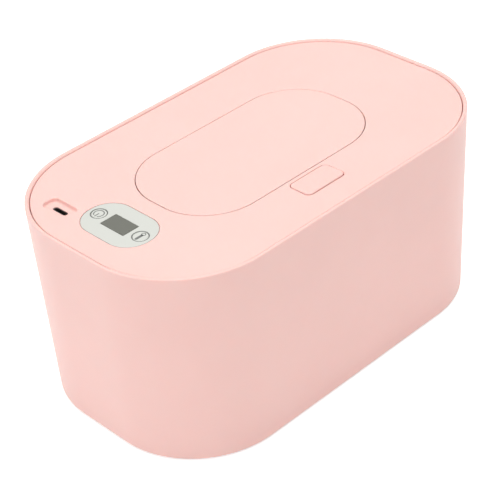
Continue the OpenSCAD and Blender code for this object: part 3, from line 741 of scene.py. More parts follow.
class Finish(Enum):
    """Every finish of the warmer."""

    PINK = Moulded(
        "satin_pink", Slot.PINK, (0.95, 0.62, 0.58), 0.44, 0.012, subsurface=0.25, specular=0.3
    )
    NATURAL = Moulded("natural_plastic", Slot.NATURAL, (0.80, 0.77, 0.70), 0.45, subsurface=0.15)
    RUBBER = Moulded("foot_rubber", Slot.RUBBER, (0.25, 0.25, 0.25), 0.7, 0.06, 0.25, 0.02)
    SILICONE = Moulded(
        "soft_silicone", Slot.SILICONE, (0.80, 0.79, 0.77), 0.5, 0.02, 0.6, 0.006, subsurface=0.3
    )
    STEEL = Metal("plated_steel", Slot.STEEL, (0.60, 0.61, 0.62), 0.28, 0.2)
    WIRE = Metal("spring_wire", Slot.STEEL, (0.50, 0.51, 0.53), 0.3, 0.1)
    # Steel darkened to half its colour as painted shade: it stands in for the shade deep inside the
    # socket's slot.
    SHADE_DARKENED_STEEL = Metal("steel_darkened_for_shade", Slot.STEEL, (0.30, 0.30, 0.31), 0.38, 0.2)
    GOLD = Metal("contact_gold", Slot.STEEL, (0.85, 0.60, 0.25), 0.25, 0.1)
    ALUMINIUM = Metal(
        "brushed_aluminium", Slot.ALUMINIUM, (0.78, 0.79, 0.80), 0.33, 0.12, (60, 1, 1)
    )
    FILM = Moulded("amber_film", Slot.FILM, (0.50, 0.20, 0.04), 0.22, 0.10, 0.8, 0.003, 0.5)
    BOARD = Moulded("solder_mask", Slot.BOARD, (0.03, 0.16, 0.07), 0.35, 0.15, 0.5, 0.006, 0.4)
    BLACK = Moulded("black_plastic", Slot.BLACK, (0.022, 0.022, 0.025), 0.42, 0.1)
    PANEL = Moulded("panel_sheet", Slot.PANEL, (0.65, 0.66, 0.625), 0.40, 0.01, 0.12, 0.0015)
    LENS = Moulded(
        "display_window", Slot.LENS, (0.125, 0.128, 0.105), 0.30, 0.02, 2.0, 0.0005, 0.2
    )
    INK = Moulded("printed_ink", Slot.LENS, (0.16, 0.165, 0.16), 0.5, 0.05)
    RED_LEAD = Moulded("red_insulation", Slot.RED_LEAD, (0.42, 0.03, 0.025), 0.4, 0.05)
    IVORY_LEAD = Moulded("ivory_insulation", Slot.IVORY_LEAD, (0.72, 0.68, 0.56), 0.4, 0.05)


def present(
    piece: bpy.types.Object, body: Body, finish: Finish, *replaced: str
) -> bpy.types.Object:
    """Shades a piece, dresses it, hangs it on its body's empty and hides the nodes that it stands
    for.

    Args:
        piece: The piece.
        body: The body that it moves with.
        finish: Its finish.
        replaced: The nodes that it stands for.

    Returns:
        The piece.
    """
    piece.data.shade_smooth()
    piece.data.set_sharp_from_angle(angle=SHARP_ANGLE)
    piece.modifiers.new("flat faces", "WEIGHTED_NORMAL").keep_sharp = True
    piece.data.materials.clear()
    piece.data.materials.append(finish.value.material)
    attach(piece, body.value)
    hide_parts(*replaced)
    log.info("%s: %d faces, on %s", piece.name, len(piece.data.polygons), body.value)
    return piece


# ---- The base ----


@dataclass
class Housing:
    """The sizes that several pieces share. Offsets count from the tub's corner centres.

    Args:
        corner: Corner radius of the rim.
        lean: How far each side leans in towards the bottom.
        rim: Width of the rim round the lid.
        gap: Gap between the rim and the lid.
        ledge: Height of the ledge that the inner tub hangs on.
        seat: Height that the lid rests at.
        tub_in: How far the inner tub's wall lies inside the rim's edge.
        tub_wall: Thickness of that wall.
        flap: Width of the flap's plate and its corner radius.
        button: Length, width and corner radius of the button's cap.
        button_lip: How far the button's flange reaches in front of its cap.
        window: Size along X and Y of the display's window that shows.
    """

    corner: float = 46.0
    lean: float = 2.5
    rim: float = 2.0
    gap: float = 0.28
    ledge: float = 82.5
    seat: float = 84.3
    tub_in: float = 5.6
    tub_wall: float = 1.6
    flap: Pair = (59.2, 25.85)
    button: Triple = (21.9, 12.0, 2.5)
    button_lip: float = 0.9
    window: Pair = (8.4, 13.9)

    def __post_init__(self) -> None:
        """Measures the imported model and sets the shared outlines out."""
        shell = Place.of("body_shell")
        self.bottom, self.rim_top = shell.levels
        self.top = Place.of("lid_cover").high[2]
        core_x, core_y = shell.high[:2] - self.corner
        self.plan = Plan(core_x, core_y, 0.0, steps=32)
        flap, (width, corner) = Place.of("flap"), self.flap
        at = (flap.middle[0], flap.low[1] + width / 2)
        self.flap_plan = Plan.box((flap.size[0], width), corner, at, 24)
        button, (length, width, corner) = Place.of("release_button"), self.button
        at = (button.middle[0], button.low[1] + self.button_lip + width / 2)
        self.button_plan = Plan.box((length, width), corner, at, 10)
        hole = np.array(self.window) + 0.3
        self.window_plan = Plan.box(hole, 0.4, Place.of("display_window").at, 4)

    def outside(self, height: float) -> float:
        """The shell's outer offset at a height: corner - lean (rim - z) / (rim - bottom)."""
        return self.corner - self.lean * (self.rim_top - height) / (self.rim_top - self.bottom)


@dataclass
class OuterShell:
    """The tapered outer shell with its rim and its ledge.

    Args:
        house: The shared sizes.
        wall: Its wall thickness.
        top_round: Radius of the rim's outer edge.
        inner_round: Radius of the rim's inner edge.
        foot_round: Radius of the bottom edge.
        ledge: Width and thickness of the ledge.
        shoulder: Height, width, thickness and slope of the shoulder that the base cover meets.
    """

    house: Housing
    wall: float = 2.2
    top_round: float = 0.65
    inner_round: float = 1.25
    foot_round: float = 0.9
    ledge: Pair = (2.0, 3.0)
    shoulder: tuple[float, float, float, float] = (3.8, 1.7, 1.2, 1.8)

    def build(self) -> None:
        """Carries the wall's section round the corner centres."""
        house = self.house
        rim_in = house.corner - house.rim
        ledge_in, low = rim_in - self.ledge[0], house.ledge - self.ledge[1]
        bottom_out = house.outside(house.bottom)
        bottom_in = bottom_out - self.wall
        under = low - (house.outside(low) - self.wall - ledge_in)
        shoulder, width, thickness, slope = self.shoulder
        over = shoulder + thickness + slope
        section = [
            (bottom_out, house.bottom, self.foot_round),
            (house.corner, house.rim_top, self.top_round),
            (rim_in, house.rim_top, self.inner_round),
            (rim_in, house.ledge, 0.2),
            (ledge_in, house.ledge, 0.3),
            (ledge_in, low, 0.5),
            (house.outside(under) - self.wall, under, 1.0),
            (house.outside(over) - self.wall, over, 0.5),
            (bottom_in - width, shoulder + thickness, 0.3),
            (bottom_in - width, shoulder, 0.2),
            (bottom_in, shoulder, 0.2),
            (bottom_in, house.bottom, 0.4),
        ]
        piece = hoop(house.plan, section, 8).make("outer_shell")
        present(piece, Body.BASE, Finish.PINK, "body_shell")


@dataclass
class InnerTub:
    """The tub that holds the wipes, with its flange and its screw bosses.

    Args:
        house: The shared sizes.
        under: Height of its underside.
        lean: How far its sides lean in.
        floor_round: Outer radius where the floor turns up.
        boss: Diameter of a screw boss.
        screw_head: Radius of a base screw's head.
        middle: Offset at which the flat of the floor begins.
    """

    house: Housing
    under: float = 8.0
    lean: float = 2.0
    floor_round: float = 6.0
    boss: float = 7.0
    screw_head: float = 2.5
    middle: float = 6.0

    def build(self) -> None:
        """Carries the tub's section, closes its floor and sets the bosses under it."""
        house, wall, under = self.house, self.house.tub_wall, self.under
        tub, screws = Place.of("inner_tub"), Place.of("base_screws")
        out = house.corner - house.tub_in
        flange = tub.high[0] - house.plan.core_x
        slope = self.lean / (house.ledge - under - self.floor_round)
        foot = out - self.lean - slope * self.floor_round
        section = [
            (self.middle, under, 0),
            (foot, under, self.floor_round),
            (out, house.ledge, 0.2),
            (flange, house.ledge, 0.2),
            (flange, house.seat, 0.3),
            (out - wall, house.seat, 0.5),
            (out - wall, house.ledge, 0),
            (foot - wall + slope * wall, under + wall, self.floor_round - wall),
            (self.middle, under + wall, 0),
        ]
        surface = Surface().solid(house.plan, section, 10)
        low, high = tub.low[2], under + wall / 2
        for at in four(*(screws.high[:2] - self.screw_head)):
            boss = [(-2, low, 0), (0, low, 0.2), (0, high, 0), (-2, high, 0)]
            surface.solid(Plan.disc(self.boss, at), boss)
        present(surface.make("wipe_tub"), Body.BASE, Finish.NATURAL, "inner_tub")


@dataclass
class RubberFoot:
    """A soft foot with two grip rings turned into its sole.

    Args:
        node: The node that it stands for.
        edge: Radius of its lower edge.
        hub: Radius at which its flats begin.
        groove: Depth of a groove beside a ring.
        starts: Where each groove begins, as a share of the foot's radius.
    """

    node: str
    edge: float = 0.8
    hub: float = 0.01
    groove: float = 0.35
    starts: Pair = (0.30, 0.62)

    def build(self) -> None:
        """Turns the foot's section about its middle."""
        place, deep = Place.of(self.node), self.groove
        radius, top = place.size[0] / 2, place.high[2]
        section = [(self.hub, 0, 0)]
        for start in self.starts:
            steps = ((0, 0, 0.15), (0.04, deep, 0.1), (0.12, deep, 0.1), (0.16, 0, 0.15))
            section += [(radius * (start + share), z, r) for share, z, r in steps]
        section += [(radius, 0, self.edge), (radius, top, 0.2), (self.hub, top, 0)]
        surface = Surface().solid(Plan(0, 0, 0, place.at), section, 6)
        present(surface.make("rubber_" + self.node), Body.BASE, Finish.RUBBER, self.node)


# ---- The lid ----


@dataclass
class LidCover:
    """The lid's top with its skirt, the basin under the flap, and every opening in it.

    Args:
        house: The shared sizes.
        sheet: Thickness of the top.
        skirt: Thickness of the skirt.
        edge: Radius of the edge round the flap.
        flap_gap: Gap round the flap.
        basin: Depth of the basin, and the thickness of its floor and its wall.
        opening: Length and width of the dispensing opening.
        rim: Width and height of the rim round it.
        button_gap: Gap round the button.
        panel_gap: Gap round the panel.
        key_hole: Diameter of the hole for a key's stem.
        port: Size of the socket's recess along X and Y, its depth and its corner radius.
        port_wall: Thickness of the wall round the recess and of its floor.
        port_mouth: Size along X and Y of the opening that a plug passes.
        hinge: How far a hinge's slot reaches from the pin: forwards, backwards and down.
        hinge_wall: Thickness of the hinge's housing, and how far a pin reaches past its slot.
        latch: Size of the latch's slot along X, Y and Z.
    """

    house: Housing
    sheet: float = 2.0
    skirt: float = 1.8
    edge: float = 0.42
    flap_gap: float = 0.28
    basin: Triple = (10.0, 1.6, 1.6)
    opening: Pair = (68.0, 26.0)
    rim: Pair = (2.0, 2.0)
    button_gap: float = 0.3
    panel_gap: float = 0.25
    key_hole: float = 7.6
    port: tuple[float, float, float, float] = (7.8, 15.5, 1.9, 2.5)
    port_wall: Pair = (1.2, 0.5)
    port_mouth: Pair = (2.45, 8.35)
    hinge: Triple = (9.2, 3.4, 9.2)
    hinge_wall: Pair = (1.4, 1.8)
    latch: Triple = (9.0, 3.0, 2.9)

    def _through(
        self, surface: Surface, plan: Plan, high: float, low: float, lip: float
    ) -> tuple[np.ndarray, np.ndarray]:
        """Adds the wall of a hole with a round edge at both ends.

        Args:
            surface: The surface that it is added to.
            plan: The hole's outline.
            high: Height of the face above.
            low: Height of the face below.
            lip: Radius of the edges.

        Returns:
            The loops that the hole leaves in the face above and in the face below.
        """
        reach = lip * 2.5
        corners = [(reach, high, 0), (0, high, lip), (0, low, lip), (reach, low, 0)]
        return surface.wall(plan, corners, 4)

    def build(self) -> None:
        """Works out the top with its basin and recesses as one closed surface, then cuts slots."""
        house, surface = self.house, Surface()
        top, seat = house.top, house.seat
        under = top - self.sheet
        outside = house.corner - house.rim - house.gap
        inside = outside - self.skirt
        rim_loop, rim_loop_under = surface.wall(
            house.plan,
            [
                (outside - 0.6, top, 0),
                (outside, top, 0.4),
                (outside, seat, 0.3),
                (inside, seat, 0.3),
                (inside, under, 0.6),
                (inside - 0.75, under, 0),
            ],
        )
        openings = [
            self._basin(surface, top, under),
            self._through(
                surface, house.button_plan.grown(self.button_gap, 8), top, under, 0.25
            ),
            *self._panel(surface, top, under),
            self._port(surface, top, under),
        ]
        above, below = ([loops[k] for loops in openings if loops[k] is not None] for k in (0, 1))
        surface.level(top, rim_loop, *above)
        surface.level(under, rim_loop_under, *below)
        piece = surface.make("lid_top")
        self._cut_slots(piece, under)
        present(piece, Body.LID, Finish.PINK, "lid_cover")

    def _basin(self, surface: Surface, top: float, under: float) -> tuple[np.ndarray, np.ndarray]:
        """Adds the basin under the flap, with the opening and its rim.

        Args:
            surface: The surface that it is added to.
            top: Height of the lid's face.
            under: Height of the face below.

        Returns:
            The loops that it leaves in both faces.
        """
        cap = self.house.flap_plan.grown(self.flap_gap, 24)
        mouth = Plan.box(self.opening, self.opening[1] / 2, cap.at, 16)
        depth, thickness, wall = self.basin
        floor = top - depth
        low = floor - thickness
        rim, rise = self.rim
        above, floor_loop = surface.wall(
            cap, [(1, top, 0), (0, top, self.edge), (0, floor, 0.8), (-2.5, floor, 0)]
        )
        floor_hole, low_hole = surface.wall(
            mouth,
            [
                (rim + 1.2, floor, 0),
                (rim, floor, 0.5),
                (rim, floor + rise, 0.6),
                (0, floor + rise, 0.6),
                (0, low, 0.3),
                (3, low, 0),
            ],
        )
        low_loop, below = surface.wall(
            cap, [(wall - 2.5, low, 0), (wall, low, 0.8), (wall, under, 0.3), (wall + 1, under, 0)]
        )
        surface.level(floor, floor_loop, floor_hole).level(low, low_loop, low_hole)
        return above, below

    def _panel(
        self, surface: Surface, top: float, under: float
    ) -> list[tuple[np.ndarray | None, np.ndarray | None]]:
        """Adds the pocket of the panel, with the holes of the window and the keys.

        Args:
            surface: The surface that it is added to.
            top: Height of the lid's face.
            under: Height of the face below.

        Returns:
            The loops that it leaves in the upper face and those in the lower one, in pairs.
        """
        panel = Place.of("panel_overlay")
        floor = panel.low[2]
        grown = panel.size[:2] + 2 * self.panel_gap
        pocket = Plan.box(grown, grown[0] / 2 - 0.5, panel.at, 20)
        above, floor_loop = surface.wall(
            pocket, [(0.8, top, 0), (0, top, 0.2), (0, floor, 0.15), (-1, floor, 0)], 4
        )
        keys = [Plan.disc(self.key_hole, Place.of(key).at) for key in KEYS]
        holes = [
            self._through(surface, plan, floor, under, 0.12)
            for plan in (self.house.window_plan, *keys)
        ]
        surface.level(floor, floor_loop, *[upper for upper, _ in holes])
        return [(above, None), *((None, lower) for _, lower in holes)]

    def _port(self, surface: Surface, top: float, under: float) -> tuple[np.ndarray, np.ndarray]:
        """Adds the recess of the socket, with the mouth in its floor and the boss round it.

        Args:
            surface: The surface that it is added to.
            top: Height of the lid's face.
            under: Height of the face below.

        Returns:
            The loops that it leaves in both faces.
        """
        at, (wall, thickness) = Place.of("usb_socket").at, self.port_wall
        length, width, depth, corner = self.port
        recess = Plan.box((length, width), corner, at, 10)
        floor = top - depth
        low = floor - thickness
        above, floor_loop = surface.wall(
            recess, [(1, top, 0), (0, top, 0.5), (0, floor, 0.8), (-1.2, floor, 0)]
        )
        mouth = Plan.box(self.port_mouth, self.port_mouth[0] / 2 - SLIVER, at, 8)
        upper, lower = self._through(surface, mouth, floor, low, 0.12)
        boss = [(-0.8, low, 0), (0, low, 0.15), (0, under, 0.1), (0.4, under, 0)]
        low_loop, below = surface.wall(recess.grown(wall, 8), boss, 4)
        surface.level(floor, floor_loop, upper).level(low, low_loop, lower)
        return above, below

    def _cut_slots(self, piece: bpy.types.Object, under: float) -> None:
        """Adds the housings of the hinge, and cuts the slots of the hinge and the latch.

        Args:
            piece: The lid's top.
            under: Height of its lower face.
        """
        pin, (wall, held) = Place.of("hinge_pin_right"), self.hinge_wall
        ahead, behind, down = self.hinge
        low = np.array([pin.low[0] + held, pin.middle[1] - ahead, pin.middle[2] - down])
        high = np.array([pin.high[0] - held, pin.middle[1] + behind, under])
        housings = Surface().block(low - wall, high + (wall, wall, 0.5), 1.2, 0.6).mirrored()
        slots = Surface().block(low, high, 0.3, 0.02).mirrored()
        combine(piece, Operation.JOIN, housings.make("hinge_housings"))
        hook, (length, width, height) = Place.of("latch_hook"), self.latch
        wall_y = Place.of("flap").low[1] - self.flap_gap - self.basin[2] / 2
        reach = np.array([length / 2, width / 2, height / 2])
        middle = np.array([hook.middle[0], wall_y, hook.high[2] - 0.1 - height / 2])
        slots.block(middle - reach, middle + reach, 0.3, 0.02)
        combine(piece, Operation.CUT, slots.make("hinge_slots"))


@dataclass
class Flap:
    """The dispensing flap: a plate, the skirt that presses the seal, a tongue and two arms.

    Args:
        house: The shared sizes.
        sheet: Thickness of the plate.
        undercut: How far its underside steps back, so that it can swing.
        land: Height of the upright part of its edge.
        edge: Radius of its upper edge.
        skirt: Length and width of the sealing skirt, and its thickness.
        arm: Width of an arm.
        neck: Inner and outer radius of an arm's neck.
        knuckle: Radius of the knuckle round the pin, and of its bore.
        pin_end: How much of the pin lies outside the arm.
        lug: How far a spring's lug reaches inwards from its arm, and its height.
        tongue: Width, height and thickness of the tongue.
        catch: Width and height of its window, and the height of its sill over the tongue's end.
    """

    house: Housing
    sheet: float = 2.0
    undercut: float = 1.7
    land: float = 0.4
    edge: float = 0.36
    skirt: Triple = (74.0, 32.0, 1.8)
    arm: float = 5.0
    neck: Pair = (6.6, 8.8)
    knuckle: Pair = (1.9, 1.06)
    pin_end: float = 2.3
    lug: Pair = (2.6, 1.3)
    tongue: Triple = (12.0, 3.8, 1.4)
    catch: Triple = (9.2, 2.6, 1.1)

    def build(self) -> None:
        """Carries the plate's section, and joins the skirt, the tongue and the arms to it."""
        top, plan = Place.of("flap").high[2], self.house.flap_plan
        under, back = top - self.sheet, -self.undercut
        plate = Surface().solid(
            plan,
            [
                (back - 2, under, 0),
                (back, under, 0.3),
                (0, top - self.land, 0.03),
                (0, top, self.edge),
                (-2, top, 0),
            ],
            6,
        )
        piece = plate.make("dispensing_flap")
        length, width, wall = self.skirt
        low, high = Place.of("flap_seal").high[2], under + 0.3
        ring = Plan.box((length, width), width / 2, plan.at, 16)
        skirt = hoop(ring, [(0, low, 0.3), (0, high, 0), (-wall, high, 0), (-wall, low, 0.3)])
        for part in (skirt.make("flap_skirt"), self._arms(under), self._tongue(under)):
            combine(piece, Operation.JOIN, part)
        present(piece, Body.FLAP, Finish.PINK, "flap")

    def _arms(self, under: float) -> bpy.types.Object:
        """Makes both arms with round edges, each with the lug that its spring pushes.

        An arm's neck lies between two arcs about the pin, from 180 to 290 degrees, its web runs in
        to the knuckle over the last 32, and a bar rises from its start to the plate.

        Args:
            under: Height of the plate's lower face.

        Returns:
            The arms.
        """
        pin = Place.of("hinge_pin_right")
        pivot, (inner, outer), (knuckle, bore) = pin.middle[1:], self.neck, self.knuckle
        start, end, rise = math.radians(258), math.radians(290), under - pivot[1] + 0.2
        outline = [
            [[-inner, rise], [-outer, rise]],
            circle(outer, math.pi, end, 28),
            circle(knuckle, end, start + 2 * math.pi, 24),
            circle(inner, start, math.pi, 20),
        ]
        hole = pivot + circle(bore, 0, 2 * math.pi, 25)[:-1]
        high = pin.high[0] - self.pin_end
        low = high - self.arm
        piece = Surface().prism(pivot + np.concatenate(outline), hole, low, high).mirrored()
        piece = piece.make("flap_arms")
        bevelled(piece, 0.3)
        (y, z), (reach, height) = pivot, self.lug
        lug = Surface().block(
            (low - reach, y - outer + 0.05, z - height), (low + 0.5, y - inner - 0.05, z), 0.3, 0.2
        )
        combine(piece, Operation.JOIN, lug.mirrored().make("spring_lugs"))
        return piece

    def _tongue(self, under: float) -> bpy.types.Object:
        """Makes the tongue with the window that the latch's nose snaps into.

        Args:
            under: Height of the plate's lower face.

        Returns:
            The tongue.
        """
        hook, front = Place.of("latch_hook"), Place.of("flap").low[1] + 0.4
        middle, (width, height, thickness) = hook.middle[0], self.tongue
        low, rear = hook.high[2] - height, front + thickness
        tongue = Surface().block(
            (middle - width / 2, front, low), (middle + width / 2, rear, under + 0.3), 0.3, 0.3
        )
        width, height, sill = self.catch
        window = Surface().block(
            (middle - width / 2, front - 0.5, low + sill),
            (middle + width / 2, rear + 0.5, low + sill + height),
            0.2,
            0.1,
        )
        piece = tongue.make("flap_tongue")
        combine(piece, Operation.CUT, window.make("tongue_window"))
        return piece


@dataclass
class ReleaseButton:
    """The button in front of the flap: its cap, the flange that keeps it in and two legs.

    Args:
        house: The shared sizes.
        edge: Radius of the cap's upper edge.
        slope: How much lower its face lies at the rear than at the front.
        cap: Height of the cap over its flange.
        flange: Thickness of the flange.
        groove: How far before the rear the groove that clears the latch's arm begins and ends, and
            its depth.
        leg: Width of a leg, its depth and its distance from the middle.
    """

    house: Housing
    edge: float = 0.6
    slope: float = 0.45
    cap: float = 3.0
    flange: float = 1.2
    groove: Triple = (4.7, 2.8, 0.4)
    leg: Triple = (2.6, 2.4, 6.2)

    def build(self) -> None:
        """Makes the cap and joins the flange and the legs to it.

        The cap is lowered by s h v, where s is the slope, h runs from 0 at the flange to 1 at the
        face, and v from 0 at the front to 1 at the rear.
        """
        button, hook = Place.of("release_button"), Place.of("latch_hook")
        plan = self.house.button_plan
        front, rear, top = button.low[1], button.high[1], button.high[2]
        seat = top - self.cap
        base, low = seat - 0.3, seat - self.flange
        cap = Surface().solid(
            plan, [(-1.5, base, 0), (0, base, 0.1), (0, top, self.edge), (-1.5, top, 0)], 6
        )
        for points in cap.points:
            rise = np.clip((points[:, 2] - seat) / self.cap, 0, 1)
            along = (points[:, 1] - plan.at[1]) / self.house.button[1] + 0.5
            points[:, 2] -= self.slope * rise * along
        flange, groove, legs = Surface(), Surface(), Surface()
        flange.block((button.low[0], front, low), (button.high[0], rear + 0.2, seat), 0.8, 0.2)
        begin, end, deep = self.groove
        groove.block(
            (hook.low[0] - 0.4, rear - begin, low - 0.3),
            (hook.high[0] + 0.4, rear - end, low + deep),
            0.3,
            0.1,
        )
        width, depth, away = self.leg
        for x in (button.middle[0] - away, button.middle[0] + away):
            foot = (x - width / 2, rear - depth, button.low[2])
            legs.block(foot, (x + width / 2, rear, seat - 0.4), 0.3, 0.3)
        piece = cap.make("button_cap")
        combine(piece, Operation.JOIN, flange.make("button_flange"))
        combine(piece, Operation.CUT, groove.make("button_groove"))
        combine(piece, Operation.JOIN, legs.make("button_legs"))
        present(piece, Body.BUTTON, Finish.PINK, "release_button")


# ---- Under the lid ----


@dataclass
class LidBase:
    """The lid's lower half: a pan with a flange, a collar round the opening and screw holes.

    Args:
        house: The shared sizes.
        clearance: Gap between it and the inner tub.
        wall: Thickness of its wall.
        floor: Thickness of its floor.
        flange: Thickness of its flange.
        mouth: Length and width of the opening.
        collar: Thickness of the collar's wall.
        edge: Radius of its lower edge.
        middle: Offset at which the flats of its floor begin.
        screws: Places of a corner screw and a side screw.
        screw_hole: Diameter of a screw's hole.
    """

    house: Housing
    clearance: float = 0.8
    wall: float = 1.6
    floor: float = 1.8
    flange: float = 1.7
    mouth: Pair = (65.0, 23.0)
    collar: float = 2.5
    edge: float = 1.0
    middle: float = 35.4
    screws: tuple[Pair, Pair] = ((70.0, 41.0), (32.0, 42.0))
    screw_hole: float = 3.2

    def build(self) -> None:
        """Carries the pan's section and closes its floor round the collar and the screw holes."""
        house, pan, surface = self.house, Place.of("lid_base"), Surface()
        low, high = pan.levels
        floor, seat = low + self.floor, high - self.flange
        out = house.corner - house.tub_in - house.tub_wall - self.clearance
        inside, reach = out - self.wall, pan.high[0] - house.plan.core_x
        lower, upper = surface.wall(
            house.plan,
            [
                (self.middle, low, 0),
                (out, low, self.edge),
                (out, seat, 0.3),
                (reach, seat, 0.3),
                (reach, high, 0.3),
                (inside, high, 0.3),
                (inside, floor, 0.8),
                (self.middle, floor, 0),
            ],
        )
        top, collar = Place.of("wipe_guide").low[2], self.collar
        mouth = Plan.box(self.mouth, self.mouth[1] / 2, house.flap_plan.at, 16)
        around = [
            (collar + 1, floor, 0),
            (collar, floor, 0.5),
            (collar, top, 0.2),
            (0, top, 0.2),
            (0, low, 0.4),
            (1, low, 0),
        ]
        holes = [surface.wall(mouth, around)]
        bore = [(0.3, floor, 0), (0, floor, 0.1), (0, low, 0.1), (0.3, low, 0)]
        for at in four(*self.screws[0]) + four(*self.screws[1]):
            holes.append(surface.wall(Plan.disc(self.screw_hole, at, 6), bore, 2))
        surface.level(floor, upper, *[above for above, _ in holes])
        surface.level(low, lower, *[below for _, below in holes])
        present(surface.make("lid_pan"), Body.LID, Finish.NATURAL, "lid_base")


@dataclass
class SoftParts:
    """The silicone parts: the lid's seal, the flap's seal and the guide for the wipes.

    Args:
        house: The shared sizes.
        seal: Width of the lid's seal.
    """

    house: Housing
    seal: float = 3.0

    def build(self) -> None:
        """Makes the three parts."""
        self._lid_seal()
        self._flap_seal()
        self._guide()

    def _lid_seal(self) -> None:
        """Makes a flat ring with two soft lips and a groove between them."""
        seal, plan = Place.of("lid_seal"), self.house.plan
        low, high = seal.levels
        outer = seal.high[0] - plan.core_x
        inner = outer - self.seal
        middle = (inner + outer) / 2
        corners = [
            (inner, low, 0.5),
            (middle - 0.55, low, 0.3),
            (middle - 0.3, low + 0.9, 0.25),
            (middle + 0.3, low + 0.9, 0.25),
            (middle + 0.55, low, 0.3),
            (outer, low, 0.5),
            (outer, high, 0.3),
            (inner, high, 0.3),
        ]
        piece = hoop(plan, corners).make("lid_gasket")
        present(piece, Body.LID, Finish.SILICONE, "lid_seal")

    def _flap_seal(self) -> None:
        """Makes a bulb under the flap's skirt, gripped by a narrower neck."""
        seal = Place.of("flap_seal")
        low, high = seal.levels
        corners = [
            (0, high, 0.2),
            (-0.25, high - 0.7, 0.2),
            (0, high - 1.1, 0.3),
            (-0.4, low, 0.7),
            (-2.6, low, 0.7),
            (-3.0, high - 1.1, 0.3),
            (-2.75, high - 0.7, 0.2),
            (-3.0, high, 0.2),
        ]
        plan = Plan.box(seal.size, seal.size[1] / 2 - SLIVER, seal.at, 16)
        piece = hoop(plan, corners).make("flap_gasket")
        present(piece, Body.FLAP, Finish.SILICONE, "flap_seal")

    def _guide(self) -> None:
        """Makes a soft insert: a rim, a web that dips inwards and a thick round lip at the slot."""
        guide = Place.of("wipe_guide")
        low, high = guide.levels
        corners = [
            (0, low, 0.3),
            (0, high, 0.7),
            (-1.6, high, 0.7),
            (-2.0, low + 1.5, 0.9),
            (-5.0, low + 0.8, 1.0),
            (-5.6, low + 1.6, 0.5),
            (-6.9, low + 1.6, 0.6),
            (-6.9, low, 0.6),
        ]
        plan = Plan.box(guide.size, guide.size[1] / 2 - SLIVER, guide.at, 20)
        piece = hoop(plan, corners).make("wipe_outlet")
        present(piece, Body.LID, Finish.SILICONE, "wipe_guide")


@dataclass
class Springs:
    """The two torsion springs of the flap and the coil spring of the button.

    Args:
        wire: Diameter of the wire.
        coil: Radius of a torsion spring's middle line.
        turns: Its whole turns.
        pitch: Distance between its turns.
        leave: Turn past the last whole one, in degrees, after which it leaves for the lug.
        legs: Lengths of its rear and front legs.
        button_turns: Turns of the button's spring.
        press: How far the button goes down; not used.
        steps: Points in a turn.
    """

    wire: float = 0.6
    coil: float = 1.75
    turns: int = 3
    pitch: float = 1.15
    leave: float = 30.0
    legs: Pair = (2.6, 7.4)
    button_turns: int = 5
    press: float = 2.0
    steps: int = 24

    def build(self) -> None:
        """Makes the three springs."""
        for side, node in ((1, "flap_spring_right"), (-1, "flap_spring_left")):
            self._torsion(side, node)
        self._button()

    def _wind(self, node: str, path: np.ndarray, across: Triple) -> bpy.types.Object:
        """Makes the wire of a spring and presents it.

        Args:
            node: The node that it stands for.
            path: The wire's middle line.
            across: A direction that the path never takes.

        Returns:
            The spring.
        """
        spring = Surface().tube(path, self.wire / 2, across).make(node + "_wire")
        return present(spring, Body.LID, Finish.WIRE, node)

    def _torsion(self, side: int, node: str) -> None:
        """Winds a torsion spring about its pin.

        From the angle 90 degrees the wire follows (x0 + p n, r cos a, r sin a), with n the turns
        so far. Both legs leave along the tangent (0, -sin a, cos a).

        Args:
            side: 1 at +X and -1 at -X.
            node: The node that it stands for.
        """
        place = Place.of("flap_spring_right")
        _, y, z = Place.of("hinge_pin_right").middle
        sweep = 360 * self.turns + self.leave
        angle = np.radians(90 + np.linspace(0, sweep, int(sweep * self.steps / 360) + 1))
        x = place.low[0] + self.wire / 2 + self.pitch * (angle - angle[0]) / (2 * math.pi)
        coil = np.stack([x, y + self.coil * np.cos(angle), z + self.coil * np.sin(angle)], axis=1)
        leave = np.array([0, -math.sin(angle[-1]), math.cos(angle[-1])])
        rear = coil[0] + np.linspace(self.legs[0], 0.4, 5)[:, None] * np.array([0, 1, 0])
        front = coil[-1] + np.linspace(0.4, self.legs[1], 8)[:, None] * leave
        self._wind(node, np.concatenate([rear, coil, front]) * np.array([side, 1, 1]), (1, 0, 0))

    def _button(self) -> None:
        """Winds the button's spring, with its turns closer together at both ends.

        At the share s of its length the height is z0 + (z1 - z0) (s - 0.8 sin(2 pi s) / (2 pi)).
        """
        place, turn = Place.of("button_spring"), 2 * math.pi
        low, high = place.low[2] + self.wire / 2, place.high[2] - self.wire / 2
        share = np.linspace(0, 1, self.button_turns * self.steps + 1)
        radius = (place.size[0] - self.wire) / 2
        angle = share * self.button_turns * turn
        ring = radius * np.stack([np.cos(angle), np.sin(angle)], axis=1) + place.at
        height = low + (high - low) * (share - 0.8 * np.sin(turn * share) / turn)
        spring = self._wind("button_spring", np.column_stack([ring, height]), (0, 0, 1))
        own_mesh(spring)


